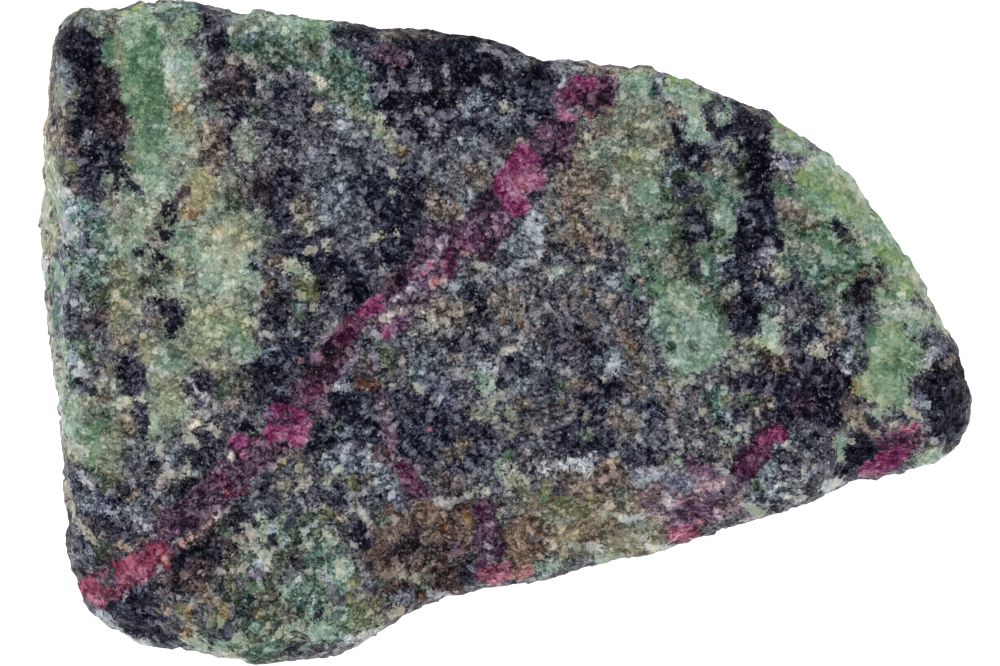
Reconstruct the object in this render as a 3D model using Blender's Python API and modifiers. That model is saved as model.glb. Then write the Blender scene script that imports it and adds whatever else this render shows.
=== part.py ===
"""Ruby in zoisite: a rough slab of rock lying on its back.

Green zoisite, black amphibole and a band of ruby have grown together, so the rock is one
solid. Sizes are in millimetres, which MM turns into the scene's metres. +X runs along the
slab to its narrow tip, +Y to its long upper edge, +Z out of its main face.
"""

import bmesh
import bpy
from math import cos, radians, sin
from mathutils import Matrix, Vector

MM = 0.001

THICKNESS = 16.0
RIM_ROUNDING = 0.5
EDGE_LOSS = 0.20          # what roughening takes off the outline
FLOOR_WEAR = 0.1          # how deep the uneven back is cut flat where it rests
VOXEL = 0.8               # mesh size while the surface is roughened
KEPT_SHARE = 0.28         # share of the roughened mesh's triangles that is kept
CHIP_REACH = 26.0         # a chip's cutter: its length down the slope,
CHIP_LEAD = 3.0           # the part of that above its line,
CHIP_DEPTH = 14.0         # and its size out of the rock
FLOOR_BLOCK = (120.0, 120.0, 20.0)

# The slab's outline seen from above, clockwise from the middle of its left side.
OUTLINE = [
    (-37.4, 6.6), (-36.6, 21.8), (-36.1, 24.0), (-35.4, 25.3), (-34.3, 25.8), (-33.2, 25.9),
    (-32.6, 25.5), (-31.6, 25.6), (-29.4, 26.4), (-27.2, 26.6), (-24.2, 26.4), (-23.3, 26.1),
    (-22.4, 25.4), (-19.2, 25.5), (-15.4, 25.1), (-14.3, 24.6), (-12.4, 24.6), (-9.6, 24.1),
    (-6.3, 24.1), (-5.2, 23.6), (-2.4, 23.6), (2.6, 21.7), (12.6, 20.9), (14.2, 20.3),
    (15.4, 19.4), (20.8, 17.6), (22.1, 16.5), (24.9, 14.8), (25.3, 14.2), (26.2, 13.8),
    (27.4, 12.6), (28.6, 11.0), (29.3, 9.5), (29.9, 9.1), (33.7, 3.4), (36.4, -2.4),
    (36.7, -4.5), (37.3, -6.1), (37.2, -7.8), (36.2, -9.1), (34.6, -10.2), (29.5, -11.8),
    (27.6, -11.7), (26.5, -12.6), (19.2, -15.3), (17.8, -15.4), (14.8, -16.9), (-6.4, -21.7),
    (-8.4, -22.6), (-12.4, -25.4), (-14.4, -26.0), (-20.6, -26.6), (-24.1, -25.5),
    (-29.0, -25.5), (-32.8, -22.5), (-33.8, -21.8), (-34.3, -20.5), (-35.0, -17.8),
    (-35.7, -4.6), (-36.6, -1.3),
]

# Broken faces along the main face's rim, in the same order. Each starts at the line between
# two points, at a height above the back, and falls away on the outer side of it:
# name, first point, second point, height, fall in degrees.
FRONT_CHIPS = [
    ("left_side", (-35.3, -11.0), (-35.5, 23.0), 16.0, 75),
    ("left_top_corner", (-35.9, 21.6), (-33.0, 25.4), 15.8, 62),
    ("top_edge_left", (-33.6, 25.0), (-22.8, 25.4), 16.0, 60),
    ("top_edge_middle", (-23.2, 24.6), (-9.0, 23.4), 16.0, 52),
    ("top_edge_dark", (-9.6, 23.2), (-1.0, 22.4), 16.0, 42),
    ("top_edge_pale", (-1.4, 21.6), (13.2, 20.0), 16.0, 48),
    ("top_edge_green", (12.4, 19.9), (24.0, 14.4), 16.0, 57),
    ("right_edge", (23.4, 14.8), (32.8, 3.8), 15.8, 62),
    ("tip_edge", (31.8, 5.0), (36.6, -6.0), 15.6, 66),
    ("tip_end", (36.4, -4.2), (33.4, -9.8), 15.4, 60),
    ("ruby_ledge", (37.4, -8.0), (26.2, -7.6), 16.0, 46),
    ("flaky_rim", (27.4, -9.8), (18.6, -13.8), 16.0, 50),
    ("break_right", (20.8, -13.4), (13.8, -12.4), 16.0, 50),
    ("break_middle", (14.6, -12.6), (7.2, -10.8), 16.0, 40),
    ("break_left", (8.2, -10.6), (-0.6, -12.2), 16.0, 34),
    ("break_end", (0.4, -12.1), (-8.8, -14.0), 16.0, 33),
    ("lobe_right", (-7.6, -15.4), (-14.2, -23.8), 16.0, 42),
    ("lobe_low", (-12.0, -23.3), (-23.4, -24.8), 16.0, 54),
    ("lobe_left", (-21.2, -24.8), (-33.0, -18.8), 15.8, 50),
    ("corner_facet", (-28.8, -19.8), (-35.6, -12.2), 15.8, 48),
    ("corner_side", (-33.6, -16.8), (-35.6, -6.0), 15.9, 70),
]

# The same for the back, where the slab is undercut and its underside slopes up to the
# broken sides: the fall is up from the line.
BACK_CHIPS = [
    ("under_left", (-34.2, -16.0), (-33.2, 8.0), 1.4, 50),
    ("under_left_top", (-33.8, 4.0), (-32.0, 27.0), 2.0, 52),
    ("under_top_left", (-37.0, 22.8), (-16.0, 22.4), 1.8, 66),
    ("under_top_middle", (-19.0, 22.4), (1.0, 19.2), 1.2, 62),
    ("under_top_right", (-2.0, 19.0), (17.0, 15.2), 2.2, 64),
    ("under_right_high", (13.0, 17.2), (27.0, 7.4), 1.6, 58),
    ("under_right_low", (24.0, 9.6), (34.6, -7.0), 2.4, 60),
    ("under_tip", (34.6, -0.6), (28.4, -12.4), 3.0, 48),
    ("under_low_right", (34.0, -7.6), (13.0, -13.2), 2.4, 58),
    ("under_low_middle", (17.0, -13.2), (-7.0, -18.6), 1.6, 59),
    ("under_lobe_right", (-2.0, -16.6), (-14.6, -23.4), 1.8, 54),
    ("under_lobe_low", (-9.0, -23.0), (-29.0, -22.6), 2.0, 66),
    ("under_corner", (-22.0, -24.2), (-35.0, -13.0), 2.2, 42),
    ("back_high_slope", (-36.0, 13.6), (4.0, 11.4), 0.0, 5),
    ("back_right_slope", (14.0, 20.0), (23.0, -16.0), 0.0, 4),
    ("back_low_slope", (9.0, -9.0), (-28.0, -14.0), 0.0, 6),
    ("back_left_slope", (-26.0, -26.0), (-29.0, 26.0), 0.0, 5),
]

# Roughness of the broken surface: name, noise basis, way it moves the surface, size of a
# lump, height of the relief.
RELIEF = [
    ("swells", "BLENDER_ORIGINAL", "Z", 10.0, 1.2),
    ("facets", "VORONOI_F2_F1", "NORMAL", 4.2, 0.55),
    ("grain_steps", "BLENDER_ORIGINAL", "NORMAL", 2.1, 0.5),
]

STONE_COLOUR = (0.115, 0.150, 0.125, 1.0)
STONE_ROUGHNESS = 0.55


def clear_scene():
    for item in list(bpy.data.objects):
        bpy.data.objects.remove(item, do_unlink=True)


def make_collection(name):
    collection = bpy.data.collections.new(name)
    bpy.context.scene.collection.children.link(collection)
    return collection


def slab(collection):
    """The outline as a filled curve, as thick as the rock, turned into a mesh."""
    curve = bpy.data.curves.new("slab_outline", "CURVE")
    curve.dimensions = "2D"
    curve.fill_mode = "BOTH"
    curve.extrude = (THICKNESS / 2 - RIM_ROUNDING) * MM
    curve.bevel_depth = RIM_ROUNDING * MM
    curve.bevel_resolution = 0
    curve.offset = (EDGE_LOSS - RIM_ROUNDING) * MM
    spline = curve.splines.new("POLY")
    spline.points.add(len(OUTLINE) - 1)
    for point, (x, y) in zip(spline.points, OUTLINE):
        point.co = (x * MM, y * MM, 0.0, 1.0)
    spline.use_cyclic_u = True
    guide = bpy.data.objects.new("slab_outline", curve)
    collection.objects.link(guide)
    guide.location.z = THICKNESS / 2 * MM
    depsgraph = bpy.context.evaluated_depsgraph_get()
    mesh = bpy.data.meshes.new_from_object(guide.evaluated_get(depsgraph))
    mesh.transform(Matrix.Translation(guide.location))
    weld(mesh)
    bpy.data.objects.remove(guide, do_unlink=True)
    stone = bpy.data.objects.new("stone", mesh)
    collection.objects.link(stone)
    return stone


def weld(mesh):
    shape = bmesh.new()
    shape.from_mesh(mesh)
    bmesh.ops.remove_doubles(shape, verts=shape.verts, dist=0.01 * MM)
    bmesh.ops.recalc_face_normals(shape, faces=shape.faces)
    shape.to_mesh(mesh)
    shape.free()


def chip(collection, name, first, second, height, fall, back=False):
    """A box whose inner face is the broken face that starts at the line between two points."""
    start = Vector((*first, height))
    end = Vector((*second, height))
    along = (end - start).normalized()
    outward = Vector((-along.y, along.x, 0.0))
    drop = 1.0 if back else -1.0
    down = outward * cos(radians(fall)) + Vector((0.0, 0.0, drop * sin(radians(fall))))
    out = outward * sin(radians(fall)) - Vector((0.0, 0.0, drop * cos(radians(fall))))
    centre = (start + end) / 2 + down * (CHIP_REACH / 2 - CHIP_LEAD) + out * (CHIP_DEPTH / 2)
    bpy.ops.mesh.primitive_cube_add(size=1.0)
    cutter = bpy.context.object
    cutter.name = "cut_" + name
    across = out.cross(along)
    turn = Matrix((along, across, out)).transposed().to_4x4()
    size = Matrix.Diagonal(((end - start).length, CHIP_REACH, CHIP_DEPTH, 1.0))
    cutter.data.transform(Matrix.Scale(MM, 4) @ Matrix.Translation(centre) @ turn @ size)
    keep_as_cutter(cutter, collection)
    return cutter


def floor_block(collection):
    """Everything below the plane that the worn back rests on."""
    bpy.ops.mesh.primitive_cube_add(size=1.0)
    block = bpy.context.object
    block.name = "cut_floor"
    centre = Vector((0.0, 0.0, FLOOR_WEAR - FLOOR_BLOCK[2] / 2))
    size = Matrix.Diagonal((*FLOOR_BLOCK, 1.0))
    block.data.transform(Matrix.Scale(MM, 4) @ Matrix.Translation(centre) @ size)
    keep_as_cutter(block, collection)
    return block


def keep_as_cutter(item, collection):
    for other in list(item.users_collection):
        other.objects.unlink(item)
    collection.objects.link(item)
    item.display_type = "WIRE"
    item.hide_render = True


def cut_with(stone, cutter):
    cut = stone.modifiers.new(cutter.name, "BOOLEAN")
    cut.operation = "DIFFERENCE"
    cut.solver = "EXACT"
    cut.object = cutter


def even_mesh(stone, name):
    remesh = stone.modifiers.new(name, "REMESH")
    remesh.mode = "VOXEL"
    remesh.voxel_size = VOXEL * MM


def roughen(stone):
    """An even mesh over the chipped slab, moved in and out by the rock's relief."""
    even_mesh(stone, "even_mesh")
    for name, basis, direction, lump, height in RELIEF:
        noise = bpy.data.textures.new(name, "CLOUDS")
        noise.noise_basis = basis
        noise.noise_scale = lump * MM
        noise.noise_depth = 1
        relief = stone.modifiers.new(name, "DISPLACE")
        relief.texture = noise
        relief.texture_coords = "LOCAL"
        relief.direction = direction
        relief.mid_level = 0.5
        relief.strength = height * MM
    even_mesh(stone, "clean_mesh")
    fewer = stone.modifiers.new("fewer_triangles", "DECIMATE")
    fewer.ratio = KEPT_SHARE
    fewer.use_collapse_triangulate = True


def stand_on_origin(stone, cutters):
    """Moves the rock and its cutters so that its box's bottom centre is at the origin."""
    depsgraph = bpy.context.evaluated_depsgraph_get()
    shape = stone.evaluated_get(depsgraph).to_mesh()
    places = [vertex.co.copy() for vertex in shape.vertices]
    low = Vector([min(place[axis] for place in places) for axis in range(3)])
    high = Vector([max(place[axis] for place in places) for axis in range(3)])
    for item in [stone, *cutters.objects]:
        item.location = (-(low.x + high.x) / 2, -(low.y + high.y) / 2, -low.z)
    print("triangles", len(shape.polygons), "size in mm", [round(s / MM, 2) for s in high - low])


def rock_material():
    material = bpy.data.materials.new("ruby_in_zoisite")
    material.use_nodes = True
    surface = material.node_tree.nodes["Principled BSDF"]
    surface.inputs["Base Color"].default_value = STONE_COLOUR
    surface.inputs["Roughness"].default_value = STONE_ROUGHNESS
    surface.inputs["Metallic"].default_value = 0.0
    material.diffuse_color = STONE_COLOUR
    return material


def build():
    clear_scene()
    parts = make_collection("ruby_in_zoisite")
    cutters = make_collection("cutters")
    stone = slab(parts)
    for name, first, second, height, fall in FRONT_CHIPS:
        cut_with(stone, chip(cutters, name, first, second, height, fall))
    for name, first, second, height, fall in BACK_CHIPS:
        cut_with(stone, chip(cutters, name, first, second, height, fall, back=True))
    roughen(stone)
    cut_with(stone, floor_block(cutters))
    stone.data.materials.append(rock_material())
    stand_on_origin(stone, cutters)


build()
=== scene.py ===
import bpy
import numpy as np
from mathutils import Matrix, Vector, noise


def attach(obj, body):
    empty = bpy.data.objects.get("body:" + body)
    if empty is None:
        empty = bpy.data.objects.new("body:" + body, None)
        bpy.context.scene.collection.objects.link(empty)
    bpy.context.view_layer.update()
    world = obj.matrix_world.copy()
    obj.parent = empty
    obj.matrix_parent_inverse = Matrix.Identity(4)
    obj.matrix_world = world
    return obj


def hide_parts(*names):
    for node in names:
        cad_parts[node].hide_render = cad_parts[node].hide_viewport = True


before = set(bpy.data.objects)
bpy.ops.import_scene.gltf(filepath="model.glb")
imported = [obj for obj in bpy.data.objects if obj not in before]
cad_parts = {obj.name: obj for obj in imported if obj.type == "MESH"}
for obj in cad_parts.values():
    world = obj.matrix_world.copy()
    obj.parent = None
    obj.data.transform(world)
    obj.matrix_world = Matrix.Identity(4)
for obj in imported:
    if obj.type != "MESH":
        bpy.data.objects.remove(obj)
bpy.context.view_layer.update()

mm = 0.001
tiny = 1e-6              # keeps divisions away from zero
seed = 4                 # other numbers give other facets and other frayed edges
noise.seed_set(seed)     # without it each run has its own

# Places on the main face are counted on a map of small squares laid over it, right and
# down from its upper left corner. Sizes elsewhere are in millimetres.
face = {
    "square": 0.08,          # mm, side of one square of the map
    "middle": (505, 332),    # the map square over the stone's middle
    "grain": 0.62,           # mm, size of the grains that the strokes break up into
    "snap": 0.65,            # how much a stroke takes whole grains, 0 to 1
    "shake": (0.20, 1.3),    # mm, how far the strokes' edges shake and how long the shakes are
    "column": 0.6,           # mm, width of the columns that the height of the top is read in
    "rim": 2.5,              # mm below those tops where the sides begin
    "fold": 0.8,             # down the sides, for each mm of depth: how far the map folds inward,
    "slant": 0.7,            # slants to one side
    "wander": (0.45, 11.0),  # and wanders, and how long its waves are in mm
}


def linear(code):
    # "#rrggbb" as the linear colour that shaders and attributes use
    parts = [int(code[i:i + 2], 16) / 255 for i in (1, 3, 5)]
    return [p / 12.92 if p <= 0.04045 else ((p + 0.055) / 1.055) ** 2.4 for p in parts]


def deselectAll():
    bpy.ops.object.select_all(action="DESELECT")


def applyModifier(piece, kind, **settings):
    modifier = piece.modifiers.new(kind.lower(), kind)
    for name, value in settings.items():
        setattr(modifier, name, value)
    bpy.context.view_layer.objects.active = piece
    bpy.ops.object.modifier_apply(modifier=modifier.name)


stoneShape = {
    "weld": 0.01,             # mm, corners closer than this are one
    "voxel": 0.24,            # mm, spacing of the fine mesh
    "smoothing": (0.5, 5),    # how strong, how often
    "facets": [               # size of the broken facets in mm, and how steeply they lean
        (4.2, 0.16),
        (1.7, 0.30),
    ],
    "facetMix": 7.3,          # gives cells that are close together different leans
    "facetEdge": 0.25,        # mm over which one facet turns into the next
    "lumps": (0.9, 0.34),     # mm, size of a lump and height of the relief
    "underRise": 0.25,        # the sides and the back are where the surface faces up less than this
    "underPull": 10.0,        # how strongly the thinning keeps to them
    "underShare": 0.52,       # faces kept when they are thinned out
}


def copyStone(shape):
    deselectAll()
    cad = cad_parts["stone"]
    cad.select_set(True)
    bpy.context.view_layer.objects.active = cad
    bpy.ops.object.duplicate()
    piece = bpy.context.object
    piece.name = "ruby_zoisite_rock"
    bpy.ops.object.mode_set(mode="EDIT")
    bpy.ops.mesh.select_all(action="SELECT")
    bpy.ops.mesh.remove_doubles(threshold=shape["weld"] * mm)
    bpy.ops.object.mode_set(mode="OBJECT")
    return piece


def roughenStone(piece, shape):
    strength, rounds = shape["smoothing"]
    applyModifier(piece, "REMESH", mode="VOXEL", voxel_size=shape["voxel"] * mm)
    applyModifier(piece, "SMOOTH", factor=strength, iterations=rounds)
    for size, lean in shape["facets"]:
        breakFacets(piece, size, lean, shape)
    lump, height = shape["lumps"]
    texture = bpy.data.textures.new("relief", "CLOUDS")
    texture.noise_basis = "BLENDER_ORIGINAL"
    texture.noise_scale = lump * mm
    texture.noise_depth = 1
    applyModifier(piece, "DISPLACE", texture=texture, texture_coords="LOCAL",
                  mid_level=0.5, strength=height * mm)
    restFlat(piece)
    under = np.flatnonzero(meshNormals(piece)[:, 2] < shape["underRise"])
    group = piece.vertex_groups.new(name="under")
    group.add(under.tolist(), 1.0, "REPLACE")
    applyModifier(piece, "DECIMATE", ratio=shape["underShare"], vertex_group="under",
                  vertex_group_factor=shape["underPull"])
    restFlat(piece)


def restFlat(piece):
    # nothing goes below the plane that the stone rests on
    places = meshPlaces(piece)
    places[:, 2] = np.maximum(places[:, 2], 0)
    movePlaces(piece, places)


def meshPlaces(piece):
    places = np.empty(len(piece.data.vertices) * 3)
    piece.data.vertices.foreach_get("co", places)
    return places.reshape(-1, 3) / mm


def meshNormals(piece):
    normals = np.empty(len(piece.data.vertices) * 3)
    piece.data.vertices.foreach_get("normal", normals)
    return normals.reshape(-1, 3)


def movePlaces(piece, places):
    piece.data.vertices.foreach_set("co", (places * mm).ravel())
    piece.data.update()


def breakFacets(piece, size, lean, shape):
    # each cell of the rock broke along a plane of its own
    places = meshPlaces(piece)
    rise = np.empty(len(places))
    mix, edge = shape["facetMix"], shape["facetEdge"]
    for index, place in enumerate(places / size):
        place = Vector(place)
        distances, middles = noise.voronoi(place)
        heights = [lean * size * noise.noise_vector(m * mix).dot(place - m) for m in middles[:2]]
        share = min(0.5 + (distances[1] - distances[0]) * size / edge / 2, 1.0)
        rise[index] = heights[0] * share + heights[1] * (1 - share)
    movePlaces(piece, places + meshNormals(piece) * rise[:, None])


def standOut(piece, rounds):
    # how far in mm each point stands out of the smoothed surface
    places = meshPlaces(piece)
    count = len(places)
    edges = np.empty(len(piece.data.edges) * 2, dtype=np.int64)
    piece.data.edges.foreach_get("vertices", edges)
    one, other = edges.reshape(-1, 2).T
    ends, starts = np.r_[one, other], np.r_[other, one]
    neighbours = np.bincount(ends, minlength=count)
    smooth = places
    for _ in range(rounds):
        smooth = np.column_stack([np.bincount(ends, smooth[starts, axis], count) for axis in range(3)])
        smooth = smooth / neighbours[:, None]
    return ((places - smooth) * meshNormals(piece)).sum(1)


# the minerals are laid down as strokes over the map of the main face

# dark side and light side of each mineral; the grains run between the two
minerals = {
    "ground": ("#24252f", "#797b81"),
    "coal": ("#010109", "#212331"),
    "ink": ("#050616", "#494b5c"),
    "dusk": ("#140f17", "#51484f"),
    "umber": ("#201719", "#6d5b57"),
    "pepper": ("#24252f", "#7c7e84"),
    "slate": ("#2e353f", "#8d99a3"),
    "teal": ("#2d443f", "#7d9a8e"),
    "moss": ("#263129", "#6c7a6b"),
    "deep": ("#3a5845", "#5f8567"),
    "vivid": ("#4a684f", "#7a9f7e"),
    "green": ("#617965", "#98b099"),
    "mint": ("#728b79", "#b0c5b4"),
    "pale": ("#879581", "#c2ceb9"),
    "lime": ("#56692f", "#93a760"),
    "citron": ("#6a7a4e", "#b0bb88"),
    "straw": ("#77785a", "#b8b893"),
    "cream": ("#85857a", "#cfd0c0"),
    "olive": ("#454a35", "#858764"),
    "greyGreen": ("#556056", "#a2ab9a"),
    "taupe": ("#393532", "#958d83"),
    "brown": ("#392e2b", "#8b786c"),
    "tan": ("#6b5a4c", "#bda48c"),
    "gold": ("#7a6639", "#c4a86c"),
    "rust": ("#704a2a", "#c38f55"),
    "blush": ("#8b6f72", "#dcc4c0"),
    "frost": ("#34364a", "#9093a5"),
    "ice": ("#7a8590", "#d0d8dc"),
    "white": ("#a3aca6", "#e9eeec"),
    "flake": ("#50525e", "#a5a7b2"),
    "sand": ("#514a42", "#a29a88"),
    "leaf": ("#627e50", "#92ab78"),
    "apple": ("#718768", "#a0b494"),
    "ember": ("#55301f", "#a8683c"),
    "violet": ("#080615", "#474355"),
    "aubergine": ("#160d1b", "#48374b"),
    "mauve": ("#4b3b48", "#a5909f"),
}

# narrow strokes of these only tint the grains that they run over
stainNames = ("gold", "rust", "tan", "citron", "lime", "straw", "brown", "ember", "blush", "umber")

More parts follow.
